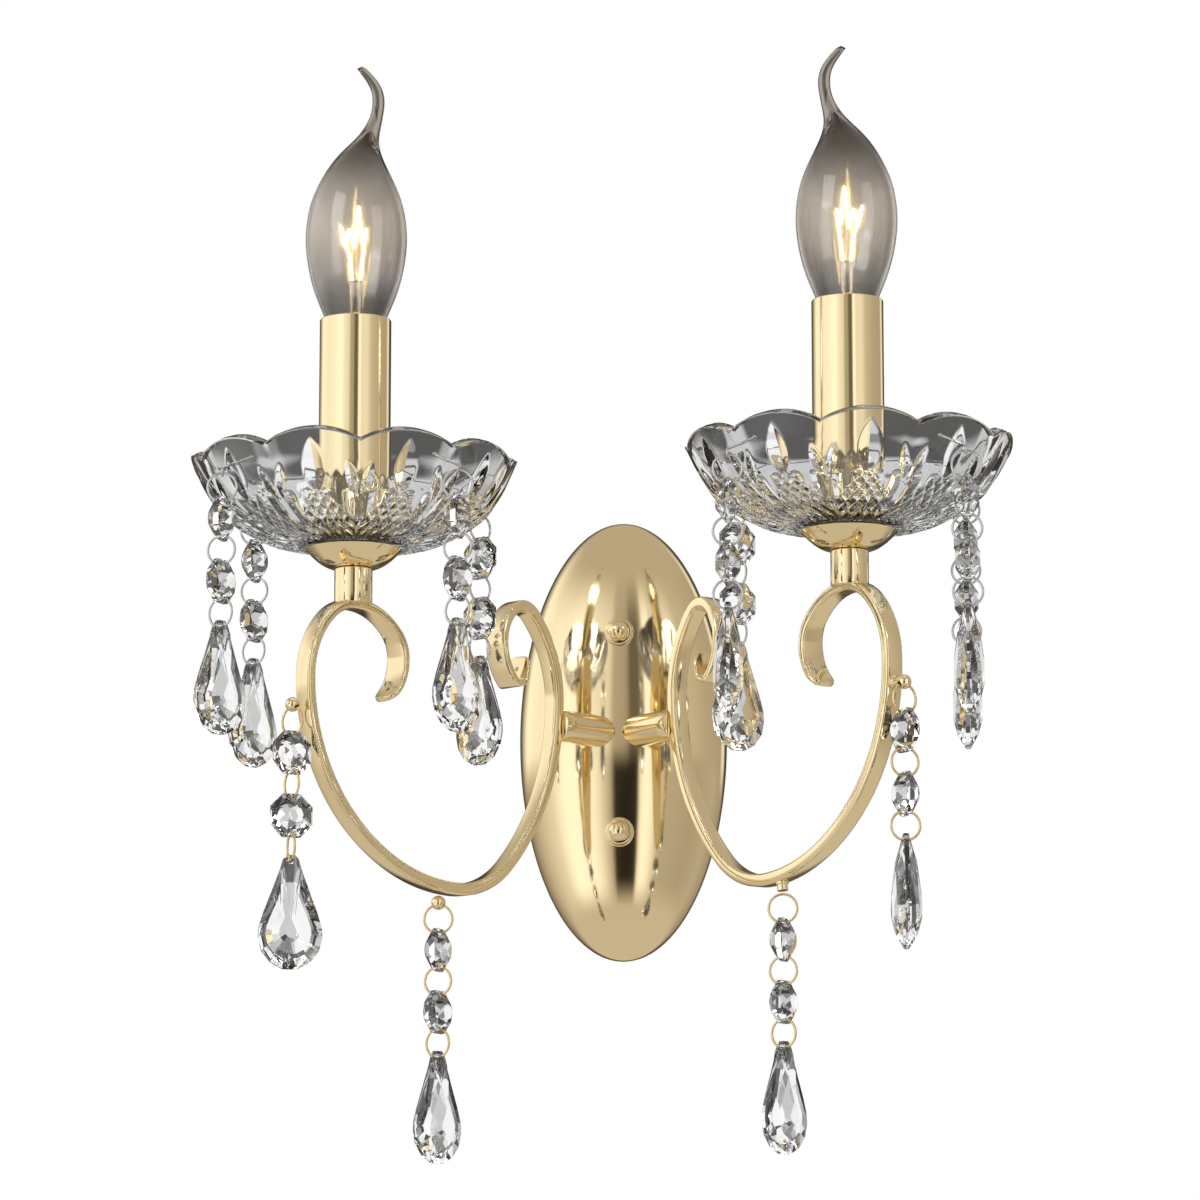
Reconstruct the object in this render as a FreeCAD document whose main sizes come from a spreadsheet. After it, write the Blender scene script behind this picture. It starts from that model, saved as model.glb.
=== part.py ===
import FreeCAD, Part
import math
import os

import Sketcher
from FreeCAD import Placement, Rotation, Vector

# A wall light with two arms. The middle of the back of the domed oval plate is the
# origin, on the wall plane y = 0. The wall is behind, the front looks along -Y, Z is up.
doc = FreeCAD.newDocument("wall_light")

# Driving sizes, in millimetres and degrees.
plate_half_width = 37.5
plate_half_height = 80
plate_depth = 27
plate_wall = 1.2
seat_radius = 5.2
strap_width = 18
strap_length = 128
strap_thickness = 1.6
wall_screw_spacing = 100
wall_hole_radius = 2.5
stud_spacing = 72
stud_radius = 2
stud_clearance = 0.3
nut_flange_radius = 4.7
nut_flange_height = 1.1
nut_body_radius = 3.7
nut_body_height = 1.2
nut_wall = 1.5
block_length = 28
block_width = 13
block_height = 12
block_pitch = 9
block_screw_radius = 1.7
block_wire_radius = 1.5
arm_angle = 50
arm_reach_x = 21.8
arm_reach_y = 42.5
right_arm_set = 2.5
bar_width = 6.2
bar_thickness = 4.4
bar_edge = 1.1
tab_width = 11
tab_thickness = 1.8
tab_hole_radius = 0.9
boss_radius = 5.7
boss_slot_depth = 1
spigot_radius = 3
spigot_clearance = 0.25
boss_nut_radius = 4.6
boss_nut_height = 2.2
peg_collar_radius = 1.9
peg_ball_radius = 2.45
peg_hole_radius = 0.95
stem_radius = 6.5
stem_height = 10.6
stem_seat = 1.6
cup_radius = 16.4
cup_foot_radius = 7
cup_height = 6.6
cup_wall = 0.9
nipple_radius = 5
nipple_bore = 3.6
nipple_clearance = 0.2
dish_radius = 56
dish_height = 31
dish_foot_radius = 17
dish_wall = 4.6
dish_floor = 5
lobe_count = 10
lobe_depth = 4.2
holder_radius = 10.8
holder_height = 68
holder_foot = 7
sleeve_radius = 12.3
sleeve_wall = 0.8
sleeve_height = 75
bulb_radius = 17.4
bulb_wall = 0.8
bulb_length = 96.5
bulb_bend = 7.9
cap_radius = 6.9
cap_height = 24
cap_clearance = 0.3
mount_radius = 2.4
mount_height = 20
filament_radius = 0.35
pin_radius = 0.5
pin_clearance = 0.2
eye_radius = 1.35
eye_wire = 0.4
inner_eye_turn = 10
hang_radius = 56
ring_radius = 4.9
ring_wire = 0.43
octagon_width = 14.6
octagon_thickness = 8.2
octagon_girdle = 1.6
octagon_hole_offset = 5.75
crystal_hole_radius = 0.9
drop_length = 38.5
drop_width = 21.5
drop_thickness = 10
boss_to_bend = 8
scroll_top_out = 17.8
scroll_top_up = 40.1
scroll_side_out = 28.6
scroll_side_up = 26.3
scroll_low_out = 21.5
scroll_low_up = 11.9
curl_radius = 3
curl_lean = 10
tab_length = 8
loop_low_out = 49.6
loop_low_down = 62.5
loop_far_out = 119.5
loop_far_up = 4.1
loop_top_out = 97.9
loop_top_up = 31
hook_side_out = 76.4
hook_side_up = 14.4
hook_radius = 17.8
hook_turn = 54.7
loop_width = 7.2
loop_thickness = 3.5
flare_width = 9.4
flare_thickness = 3
tab_end = 4.6
tab_rounding = 0.6
peg_reach = 3.3
outer_peg_reach = 4.8
peg_hole_drop = 0.9
outer_peg_turn = 8.5
bottom_peg_turn = 5.2
bottom_ring_yaw = 5
wedge_radius = 4.8
wedge_depth = 3.6
stem_floor = 2
dish_low_radius = 30.5
dish_low_height = 2.7
dish_knee_radius = 46.4
dish_knee_height = 12.7
lobe_start = 9
wheel_radius = 60
olive_height = 18.7
olive_depth = 1.5
olive_half_width = 3.8
cap_wall = 0.5
mount_room = 1.2
bulb_lift = 1
filament_spread = 4.5
filament_rise = 20
pin_height = 19.6
pin_slope = 24
pin_run = 13.5
pin_head_radius = 0.8
octagon_table = 6
drop_hole_depth = 2.2
left_twist = 8
arm_twist = 7
seat_step = 0.2
seat_gap = 0.1

sizes = {name: value for name, value in globals().items() if type(value) in (int, float)}


class Size:
    """A size that carries both its number and the expression that gives it in the sheet."""

    def __init__(self, value, text):
        self.value = value
        self.text = text

    def join(self, other, sign, value, swap=False):
        other_text = other.text if isinstance(other, Size) else repr(float(other))
        first, second = (other_text, self.text) if swap else (self.text, other_text)
        return Size(value, "(%s %s %s)" % (first, sign, second))

    def __add__(self, other):
        return self.join(other, "+", self.value + number(other))

    def __sub__(self, other):
        return self.join(other, "-", self.value - number(other))

    def __rsub__(self, other):
        return self.join(other, "-", number(other) - self.value, swap=True)

    def __mul__(self, other):
        return self.join(other, "*", self.value * number(other))

    def __truediv__(self, other):
        return self.join(other, "/", self.value / number(other))

    def __neg__(self):
        return self * -1

    __radd__ = __add__
    __rmul__ = __mul__


def number(size):
    return size.value if isinstance(size, Size) else float(size)


def root(size):
    return Size(math.sqrt(size.value), "sqrt(%s)" % size.text)


sheet = doc.addObject("Spreadsheet::Sheet", "Sizes")
S = {}
for row, (name, value) in enumerate(list(sizes.items()), start=1):
    sheet.set("A%d" % row, name)
    sheet.set("B%d" % row, repr(value))
    sheet.setAlias("B%d" % row, name)
    S[name] = Size(float(value), "Sizes." + name)
doc.recompute()

pieces = {}


def keep(label, thing):
    """Register a finished sub-part under the name of its file."""
    thing.Label = label
    pieces[label] = thing
    return thing


def bind(thing, **sizes):
    """Bind properties to sizes; x, y and z bind where the thing stands."""
    for prop, size in sizes.items():
        if prop in ("x", "y", "z"):
            prop = "Placement.Base." + prop
        thing.setExpression(prop, size.text if isinstance(size, Size) else repr(float(size)))
    return thing


def primitive(kind, name, rotation=None, **sizes):
    """One of Part's own solids, bound to its sizes."""
    thing = doc.addObject("Part::" + kind, name)
    if rotation:
        thing.Placement = Placement(Vector(0, 0, 0), rotation)
    return bind(thing, **sizes)


def shown(shape, name):
    """A shape made with Part's own functions, as one object."""
    thing = doc.addObject("Part::Feature", name)
    thing.Shape = shape
    return thing


def cut(base, tool, name):
    result = doc.addObject("Part::Cut", name)
    result.Base = base
    result.Tool = tool
    return result


def fused(parts, name):
    result = doc.addObject("Part::MultiFuse", name)
    result.Shapes = parts
    return result


def grouped(parts, name):
    """Separate solids kept together as one sub-part."""
    result = doc.addObject("Part::Compound", name)
    result.Links = parts
    return result


FORWARD = Rotation(Vector(1, 0, 0), 90)


def forward_rod(radius, start, end, name, x=0, z=0):
    """A cylinder that points away from the wall, from y = -start to y = -end."""
    return primitive("Cylinder", name, FORWARD, Radius=radius, Height=end - start, x=x, y=-start, z=z)


def plane_of(body, role):
    return [f for f in body.Origin.OriginFeatures if f.Role == role][0]


def outline(body, name, role, corners):
    """A closed sketch through corners bound to sizes.

    A corner is (across, up). One marked as ("via", across, up) is a point that the edge
    between its neighbours passes through, as an arc.
    """
    sketch = body.newObject("Sketcher::SketchObject", name)
    sketch.AttachmentSupport = [(plane_of(body, role), "")]
    sketch.MapMode = "FlatFace"
    ends = [i for i, c in enumerate(corners) if c[0] != "via"]
    starts = []
    for n, i in enumerate(ends):
        a, b = corners[i], corners[ends[(n + 1) % len(ends)]]
        first, last = Vector(number(a[0]), number(a[1]), 0), Vector(number(b[0]), number(b[1]), 0)
        between = corners[(i + 1) % len(corners)]
        if between[0] != "via":
            edge = sketch.addGeometry(Part.LineSegment(first, last), False)
            starts.append((edge, 1, 2, a))
            continue
        middle = Vector(number(between[1]), number(between[2]), 0)
        leftward = (middle - first).cross(last - middle).z > 0
        arc = Part.Arc(first, middle, last) if leftward else Part.Arc(last, middle, first)
        edge = sketch.addGeometry(arc, False)
        starts.append((edge, 1, 2, a) if leftward else (edge, 2, 1, a))
        dot = sketch.addGeometry(Part.Point(middle), True)
        sketch.addConstraint(Sketcher.Constraint("PointOnObject", dot, 1, edge))
        fix(sketch, dot, 1, between[1:])
    for n, (edge, start, end, corner) in enumerate(starts):
        following = starts[(n + 1) % len(starts)]
        sketch.addConstraint(Sketcher.Constraint("Coincident", edge, end, following[0], following[1]))
        fix(sketch, edge, start, corner)
    return sketch


def fix(sketch, geometry, point, place):
    """Hold one point of a sketch at a place given by two sizes."""
    for kind, size in zip(("DistanceX", "DistanceY"), place):
        index = sketch.addConstraint(Sketcher.Constraint(kind, -1, 1, geometry, point, number(size)))
        if isinstance(size, Size):
            sketch.setExpression("Constraints[%d]" % index, size.text)


def turned(label, corners):
    """A body turned about Z, from a profile of (radius, height) corners."""
    body = doc.addObject("PartDesign::Body", label)
    sketch = outline(body, label + "_profile", "XZ_Plane", corners)
    spin = body.newObject("PartDesign::Revolution", label + "_turn")
    spin.Profile = sketch
    spin.ReferenceAxis = (sketch, ["V_Axis"])
    spin.Angle = 360
    body.Tip = spin
    return body


def copy_at(source, name, place):
    """The same shape again at another place."""
    shape = source.Shape.copy()
    shape.Placement = place.multiply(shape.Placement)
    return shown(shape, name)


# The arm stands in an upright plane, turned away from the wall by arm_angle. Points in it are
# (out, up), measured from the bar's centre at the boss.
angle = math.radians(arm_angle)


class ArmPlane:
    def __init__(self, side):
        self.side = side
        self.origin = Vector(side * arm_reach_x, -arm_reach_y, 0)
        self.out = Vector(side * math.cos(angle), -math.sin(angle), 0)
        self.across = Vector(side * math.sin(angle), math.cos(angle), 0)
        self.set = math.radians(right_arm_set) if side > 0 else 0.0

    def turn(self, point):
        """The right arm is set a little higher than the left one."""
        out, up = point
        c, s = math.cos(self.set), math.sin(self.set)
        return (out * c - up * s, out * s + up * c)

    def at(self, point, aside=0.0):
        out, up = self.turn(point)
        return self.origin + self.out * out + Vector(0, 0, up) + self.across * aside


# Backplate: a domed oval shell, open to the wall, with a flat seat under each cap nut.
def ellipsoid(name, grow):
    return primitive(
        "Ellipsoid",
        name,
        Radius1=S["plate_half_height"] + grow,
        Radius2=S["plate_half_width"] + grow,
        Radius3=S["plate_depth"] + grow,
    )


def dome_crossing(plane, grow):
    """How far inward of the bar's centre the boss's axis meets the dome."""
    a, b = plate_half_width + grow, plate_depth + grow
    ox, oy = plane.origin.x / a, plane.origin.y / b
    dx, dy = -plane.out.x / a, -plane.out.y / b
    squared, mixed, rest = dx * dx + dy * dy, ox * dx + oy * dy, ox * ox + oy * oy - 1
    return (-mixed - math.sqrt(mixed * mixed - squared * rest)) / squared


def boss_rod(plane, radius, start, end, name):
    """A cylinder on the boss's axis, between two distances inward of the bar's centre."""
    rod = primitive("Cylinder", name, Radius=radius, Height=number(end) - number(start))
    rod.Placement = Placement(plane.origin - plane.out * number(end), Rotation(Vector(0, 0, 1), plane.out))
    return rod


half_studs = S["stud_spacing"] / 2
half_screws = S["wall_screw_spacing"] / 2
seat_ratio = (half_studs - S["seat_radius"]) / S["plate_half_height"]
seat_front = S["plate_depth"] * root(1 - seat_ratio * seat_ratio) + S["seat_step"]
planes = {"left": ArmPlane(-1), "right": ArmPlane(1)}

domed = [ellipsoid("plate_outside", 0)]
plate_tools = [ellipsoid("plate_inside", -S["plate_wall"])]
plate_tools.append(
    primitive(
        "Box",
        "wall_side",
        Length=S["plate_half_width"] * 4,
        Width=S["plate_depth"] * 2,
        Height=S["plate_half_height"] * 4,
        x=S["plate_half_width"] * -2,
        z=S["plate_half_height"] * -2,
    )
)
for sign in (1, -1):
    z = half_studs * sign
    word = "upper" if sign > 0 else "lower"
    deep = S["plate_depth"] - S["plate_wall"] * 3
    domed.append(forward_rod(S["seat_radius"], deep, seat_front, word + "_seat", z=z))
    hole = S["stud_radius"] + S["stud_clearance"]
    plate_tools.append(forward_rod(hole, deep / 2, S["plate_depth"] * 2, word + "_stud_hole", z=z))
for word, plane in planes.items():
    middle = dome_crossing(plane, 0)
    hole = S["spigot_radius"] + S["spigot_clearance"]
    reach = boss_radius
    plate_tools.append(boss_rod(plane, hole, middle - reach, middle + reach, word + "_spigot_hole"))
keep("backplate", cut(fused(domed, "plate_solid"), fused(plate_tools, "plate_cuts"), "backplate"))

# Wall strap: a flat steel bar on the wall, with a hole for each wall screw and each stud.
strap = primitive(
    "Box",
    "strap_bar",
    Length=S["strap_width"],
    Width=S["strap_thickness"],
    Height=S["strap_length"],
    x=S["strap_width"] / -2,
    y=-S["strap_thickness"],
    z=S["strap_length"] / -2,
)
through = S["strap_thickness"] * 2
holes = []
for sign in (1, -1):
    word = "upper" if sign > 0 else "lower"
    holes.append(
        forward_rod(S["wall_hole_radius"], -through, through, word + "_screw_hole", z=half_screws * sign)
    )
    snug = S["stud_radius"] + S["seat_gap"]
    holes.append(forward_rod(snug, -through, through, word + "_strap_hole", z=half_studs * sign))
keep("wall_strap", cut(strap, fused(holes, "strap_holes"), "wall_strap"))

# Fixing studs stand in the strap and reach through the plate into the cap nuts.
nut_shoulder = S["nut_flange_height"] + S["nut_body_height"]
nut_flat = math.radians(6)
nut_top = nut_shoulder + S["nut_body_radius"] * math.cos(nut_flat)
stud_end = seat_front + nut_top - S["nut_wall"] * 2
studs = [
    forward_rod(S["stud_radius"], S["seat_gap"], stud_end, word + "_stud", z=half_studs * sign)
    for word, sign in (("upper", 1), ("lower", -1))
]
keep("fixing_studs", grouped(studs, "fixing_studs"))

# Cap nuts: a flange, a round body and a domed end with a blind bore.
bore = S["stud_radius"] + S["seat_gap"]
nut_round = S["nut_body_radius"] * math.sqrt(0.5)
nut = turned(
    "cap_nut_form",
    [
        (bore, 0),
        (S["nut_flange_radius"], 0),
        (S["nut_flange_radius"], S["nut_flange_height"] * 0.6),
        (S["nut_flange_radius"] - S["nut_flange_height"] * 0.4, S["nut_flange_height"]),
        (S["nut_body_radius"], S["nut_flange_height"]),
        (S["nut_body_radius"], nut_shoulder),
        ("via", nut_round, nut_shoulder + nut_round),
        (S["nut_body_radius"] * math.sin(nut_flat), nut_top),
        (0, nut_top),
        (0, nut_top - S["nut_wall"]),
        (bore, nut_top - S["nut_wall"]),
    ],
)
doc.recompute()
seated = number(seat_front) + seat_gap
nuts = [
    copy_at(nut, word + "_nut", Placement(Vector(0, -seated, number(half_studs) * sign), FORWARD))
    for word, sign in (("upper", 1), ("lower", -1))
]
keep("cap_nuts", grouped(nuts, "cap_nuts"))

# Terminal block: three ways through it, each with a screw from the front.
block_back = S["strap_thickness"] + S["seat_gap"]
block = primitive(
    "Box",
    "block_body",
    Length=S["block_length"],
    Width=S["block_height"],
    Height=S["block_width"],
    x=S["block_length"] / -2,
    y=-block_back - S["block_height"],
    z=S["block_width"] / -2,
)
block_front = block_back + S["block_height"]
block_middle = block_back + S["block_height"] / 2
ways, screws = [], []
for word, place in (("left", -1), ("middle", 0), ("right", 1)):
    x = S["block_pitch"] * place
    way = primitive(
        "Cylinder",
        word + "_way",
        Radius=S["block_wire_radius"],
        Height=S["block_width"] * 2,
        x=x,
        y=-block_middle,
        z=-S["block_width"],
    )
    ways.append(way)
    seat = S["block_screw_radius"] + S["seat_gap"]
    ways.append(forward_rod(seat, block_middle, block_front * 2, word + "_screw_way", x=x))
    tip = block_middle + S["block_wire_radius"] + S["seat_gap"]
    head = block_front - S["seat_gap"] * 4
    screws.append(forward_rod(S["block_screw_radius"], tip, head, word + "_screw", x=x))
keep("terminal_block", cut(block, fused(ways, "block_ways"), "terminal_block"))
keep("terminal_screws", grouped(screws, "terminal_screws"))


# Arm: one flat bar, bent through quarter turns. Each turn is two arcs of an eighth of a circle.
HALF, REST = math.sqrt(0.5), 1 - math.sqrt(0.5)


def eighths(along, across):
    """The two radii of a quarter turn that goes `along` the old heading and `across` it."""
    spread = HALF * HALF - REST * REST
    return (HALF * along - REST * across) / spread, (HALF * across - REST * along) / spread


class Bar:
    """Walks along the bar's centre line and notes where each cross section stands."""

    def __init__(self, point, heading, size):
        self.point, self.heading, self.size = point, heading, size
        self.sections = [(point, heading, size)]

    def arc(self, radius, turn, size, steps):
        """Turn left for positive degrees, right for negative ones, reaching `size` at the end."""
        start, begun, old = self.point, self.heading, self.size
        way = 1 if turn > 0 else -1
        h0 = math.radians(begun)
        centre = (start[0] - way * radius * math.sin(h0), start[1] + way * radius * math.cos(h0))
        for n in range(1, steps + 1):
            part = n / steps
            h = math.radians(begun + turn * part)
            place = (centre[0] + way * radius * math.sin(h), centre[1] - way * radius * math.cos(h))
            here = tuple(a + (b - a) * part for a, b in zip(old, size))
            self.sections.append((place, begun + turn * part, here))
        self.point, self.heading, self.size = place, begun + turn, size
        return centre

    def quarter(self, along, across, way, size):
        first, last = eighths(along, across)
        between = tuple((a + b) / 2 for a, b in zip(self.size, size))
        self.arc(first, 45 * way, between, 3)
        return self.arc(last, 45 * way, size, 3), last

    def straight(self, length, shares):
        """Run on straight; each share narrows the bar at one of the even steps."""
        h = math.radians(self.heading)
        step = length / len(shares)
        for share in shares:
            self.point = (self.point[0] + step * math.cos(h), self.point[1] + step * math.sin(h))
            self.sections.append((self.point, self.heading, (self.size[0] * share, self.size[1])))


def strap_section(plane, point, heading, size):
    """A rounded rectangle across the bar, as a wire of four straight edges and four arcs."""
    wide, thick = size[0] / 2, size[1] / 2
    edge = min(bar_edge, thick * 0.9)
    h = math.radians(heading) + plane.set
    normal = plane.out * -math.sin(h) + Vector(0, 0, math.cos(h))
    centre = plane.at(point)

    def spot(a, b):
        return centre + plane.across * a + normal * b

    edges = []
    corner = edge * (1 - HALF)
    rounds = [(wide, thick, 1, 1), (-wide, thick, -1, 1), (-wide, -thick, -1, -1), (wide, -thick, 1, -1)]
    for n, (w, t, a, b) in enumerate(rounds):
        one, other = spot(w, t - b * edge), spot(w - a * edge, t)
        first, last = (one, other) if n % 2 == 0 else (other, one)
        edges.append(Part.Arc(first, spot(w - a * corner, t - b * corner), last).toShape())
        w2, t2, a2, b2 = rounds[(n + 1) % 4]
        one, other = spot(w2, t2 - b2 * edge), spot(w2 - a2 * edge, t2)
        following = one if (n + 1) % 2 == 0 else other
        edges.append(Part.makeLine(last, following))
    return Part.Wire(edges)


BAR = (bar_width, bar_thickness)
LOOP = (loop_width, loop_thickness)
FLARE = (flare_width, flare_thickness)
TAB = (tab_width, tab_thickness)
SHOULDER = (LOOP[0], BAR[1])
rise = boss_to_bend
top_out, top_up = loop_top_out, loop_top_up
low_out, low_up = loop_low_out, -loop_low_down
far_out, far_up = loop_far_out, loop_far_up
hook_out, hook_up = hook_side_out, hook_side_up
curl_top = (scroll_top_out, scroll_top_up)
curl_side = (scroll_side_out, scroll_side_up)
curl_low = (scroll_low_out, scroll_low_up)

lower = Bar((0, rise), -90, BAR)
lower.quarter(rise - low_up, low_out, 1, BAR)
bottom_centre = (low_out, low_up + eighths(far_out - low_out, far_up - low_up)[0])
bottom_radius = eighths(far_out - low_out, far_up - low_up)[0]
outer_centre, outer_radius = lower.quarter(far_out - low_out, far_up - low_up, 1, LOOP)
top_centre, top_radius = lower.quarter(top_up - far_up, far_out - top_out, 1, LOOP)
lower.quarter(top_out - hook_out, top_up - hook_up, 1, FLARE)
end_length = tab_end
hook_end = math.degrees(end_length / hook_radius)
lower.arc(hook_radius, hook_turn - hook_end, TAB, 3)
hook_hole = lower.sections[-1]
lower.arc(hook_radius, hook_end, TAB, 1)
upper = Bar((0, rise), 90, BAR)
upper.quarter(curl_top[1] - rise, curl_top[0], -1, SHOULDER)
upper.quarter(curl_side[0] - curl_top[0], curl_top[1] - curl_side[1], -1, FLARE)
upper.quarter(curl_side[1] - curl_low[1], curl_side[0] - curl_low[0], -1, TAB)
upper.arc(curl_radius, -90 + curl_lean, TAB, 4)
upper.straight(tab_length - end_length, [1.0, 1.0, 1.0])
scroll_hole = upper.sections[-1]
upper.straight(end_length, [1.0, 0.96, 0.84, 0.6])


def bar_solid(plane, grow=0.0):
    """The bar's loft; `grow` adds a clearance all round."""
    walk = [(p, h + 180, s) for p, h, s in reversed(upper.sections[1:])] + lower.sections
    wires = [
        strap_section(plane, p, h, (s[0] + grow * 2, s[1] + grow * 2)) for p, h, s in walk
    ]
    return Part.makeLoft(wires, True, False)


def round_end(bar, plane, tip):
    """Trim a tab's end to a half round."""
    point, heading, size = tip
    h = math.radians(heading) + plane.set
    tangent = plane.out * math.cos(h) + Vector(0, 0, math.sin(h))
    normal = plane.out * -math.sin(h) + Vector(0, 0, math.cos(h))
    radius, wide = size[0] * tab_rounding, size[0]
    middle = plane.at(point) - tangent * (radius + seat_gap)
    left, right = middle + plane.across * radius, middle - plane.across * radius
    beyond = tangent * (radius + size[1])
    line = [right, right - plane.across * wide, right - plane.across * wide + beyond]
    line += [left + plane.across * wide + beyond, left + plane.across * wide, left]
    edges = [Part.Arc(left, middle + tangent * radius, right).toShape()]
    edges += [Part.makeLine(a, b) for a, b in zip(line, line[1:])]
    tool = Part.Face(Part.Wire(edges)).extrude(normal * (size[1] * 3))
    tool.translate(normal * (size[1] * -1.5))
    return bar.cut(tool)


def peg(plane, spot, hole_axis):
    """A collar and a drilled ball that stand off the bar; gives them and the hole's centre.

    The spot is the middle of the bar's bend, its radius, half the bar's thickness, the angle
    round the bend in degrees, and how far the ball stands off.
    """
    centre, radius, bar_half, degrees, reach = spot
    turn = math.radians(degrees) + plane.set
    way = plane.out * math.cos(turn) + Vector(0, 0, math.sin(turn))
    middle = plane.at(centre)
    foot = middle + way * (radius + bar_half * 0.5)
    ball = middle + way * (radius + bar_half + reach)
    collar = Part.makeCylinder(peg_collar_radius, (ball - foot).Length, foot, way)
    hole = ball - Vector(0, 0, peg_hole_drop)
    long = peg_ball_radius * 4
    drill = Part.makeCylinder(peg_hole_radius, long, hole - hole_axis * (long / 2), hole_axis)
    sphere = Part.makeSphere(peg_ball_radius, ball)
    return collar.fuse(sphere).cut(drill), drill, hole


def level(degrees):
    """A level direction, in degrees from straight sideways toward the wall."""
    return Vector(math.cos(math.radians(degrees)), math.sin(math.radians(degrees)), 0)


hang_points = {}
lamp_axes = {}
arms = {}
for word, plane in planes.items():
    side = plane.side
    arm = bar_solid(plane)
    arm = round_end(arm, plane, lower.sections[-1])
    for point, heading, size in (hook_hole, scroll_hole):
        h = math.radians(heading) + plane.set
        normal = plane.out * -math.sin(h) + Vector(0, 0, math.cos(h))
        start = plane.at(point) - normal * size[1] * 2
        arm = arm.cut(Part.makeCylinder(tab_hole_radius, size[1] * 4, start, normal))
    lengthwise = level(-bottom_ring_yaw)
    thin, thick = LOOP[1] / 2, BAR[1] / 2
    outer_spot = (outer_centre, outer_radius, thin, -outer_peg_turn, outer_peg_reach)
    bottom_spot = (bottom_centre, bottom_radius, thick, bottom_peg_turn - 90, peg_reach)
    for chain, spot, axis in (
        ("arm_outer", outer_spot, plane.across),
        ("arm_bottom", bottom_spot, lengthwise),
    ):
        knob, drill, hole = peg(plane, spot, axis)
        arm = arm.fuse(knob).cut(drill)
        hang_points[word + "_" + chain] = (hole, axis)
    arms[word] = keep(word + "_arm", shown(arm, word + "_arm"))
    turned_centre = plane.turn(top_centre)
    lamp_axes[word] = (
        plane.origin + plane.out * turned_centre[0] + Vector(0, 0, turned_centre[1] + top_radius)
    )

# Arm bosses: a round stub between the dome and the bar, a wedge and a nut inside the dome.
for word, plane in planes.items():
    outside, inside = dome_crossing(plane, 0), dome_crossing(plane, -plate_wall)
    front = BAR[1] / 2 - boss_slot_depth
    slope_room = boss_radius * 1.6
    spigot_foot = front + boss_radius / 2
    stub = boss_rod(plane, S["boss_radius"], front, outside + slope_room, word + "_stub")
    shell = ellipsoid(word + "_dome_face", S["seat_gap"])
    wedge_back = inside + wedge_depth
    nut_start = wedge_back + seat_gap
    nut_end = nut_start + boss_nut_height
    spigot = boss_rod(plane, S["spigot_radius"], spigot_foot, nut_end + seat_gap * 4, word + "_spigot")
    bar = shown(bar_solid(plane, seat_gap), word + "_bar_seat")
    body = fused([cut(stub, shell, word + "_stub_on_dome"), spigot], word + "_stub_and_spigot")
    keep(word + "_arm_boss", cut(body, bar, word + "_arm_boss"))
    snug = S["spigot_radius"] + S["seat_gap"]
    hollow = boss_rod(plane, snug, front, nut_end + boss_nut_height, word + "_nut_bore")
    ring = boss_rod(plane, S["wedge_radius"], inside - slope_room, wedge_back, word + "_wedge_rod")
    inner = doc.addObject("Part::Common", word + "_wedge_form")
    inner.Base = ring
    inner.Tool = ellipsoid(word + "_dome_inner", -S["plate_wall"] - S["seat_gap"])
    hexagon = primitive(
        "Prism", word + "_nut_form", Circumradius=S["boss_nut_radius"], Height=S["boss_nut_height"]
    )
    hexagon.Polygon = 6
    hexagon.Placement = Placement(plane.origin - plane.out * nut_end, Rotation(Vector(0, 0, 1), plane.out))
    wedge = cut(inner, hollow, word + "_wedge")
    nut_ring = cut(hexagon, hollow, word + "_nut_ring")
    keep(word + "_boss_nut", grouped([wedge, nut_ring], word + "_boss_nut"))

# What the lamps are built from, each drawn once with the height it stands at.
bar_top = LOOP[1] / 2
stem_top = bar_top + stem_height
tube = S["nipple_radius"] + S["nipple_clearance"]
cup_mid = S["cup_radius"] * 0.62
wall = S["cup_wall"]
cup_form = turned(
    "drip_cup_form",
    [
        (tube, 0),
        (S["cup_foot_radius"], 0),
        ("via", S["cup_foot_radius"] + S["cup_height"] * 0.1, S["cup_height"] * 0.24),
        (cup_mid, S["cup_height"] * 0.42),
        ("via", S["cup_radius"] - S["cup_height"] * 0.22, S["cup_height"] * 0.62),
        (S["cup_radius"], S["cup_height"]),
        (S["cup_radius"] - wall * 1.2, S["cup_height"]),
        ("via", S["cup_radius"] - S["cup_height"] * 0.22 - wall * 0.8, S["cup_height"] * 0.62 + wall * 0.7),
        (cup_mid - wall * 0.4, S["cup_height"] * 0.42 + wall),
        (tube, S["cup_height"] * 0.42 + wall),
    ],
)
glass = S["dish_wall"]
low_r, low_h = S["dish_low_radius"], S["dish_low_height"]
knee_r, knee_h = S["dish_knee_radius"], S["dish_knee_height"]
side_r, side_h = (knee_r + S["dish_radius"]) / 2 + 0.8, (knee_h + S["dish_height"]) / 2
dish_form = turned(
    "glass_dish_form",
    [
        (tube, 0),
        (S["dish_foot_radius"], 0),
        ("via", low_r, low_h),
        (knee_r, knee_h),
        ("via", side_r, side_h),
        (S["dish_radius"], S["dish_height"]),
        (S["dish_radius"] - glass, S["dish_height"]),
        ("via", side_r - glass * 0.91, side_h + glass * 0.41),
        (knee_r - glass * 0.66, knee_h + glass * 0.75),
        ("via", low_r - glass * 0.24, low_h + glass * 0.97),
        (S["dish_foot_radius"] + 2, S["dish_floor"]),
        (tube, S["dish_floor"]),
    ],
)
half_lobe = S["dish_radius"] * math.sin(math.pi / lobe_count)
apex = S["dish_height"] - S["lobe_depth"]
lift = S["lobe_depth"] * 1.03
bow = outline(
    dish_form,
    "notch_profile",
    "XZ_Plane",
    [
        (0, apex),
        ("via", half_lobe * 0.45, apex + lift * 0.69),
        (half_lobe, apex + lift),
        (half_lobe, S["dish_height"] * 1.5),
        (-half_lobe, S["dish_height"] * 1.5),
        (-half_lobe, apex + lift),
        ("via", -half_lobe * 0.45, apex + lift * 0.69),
    ],
)
notch = dish_form.newObject("PartDesign::Pocket", "notch")
notch.Profile = bow
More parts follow.
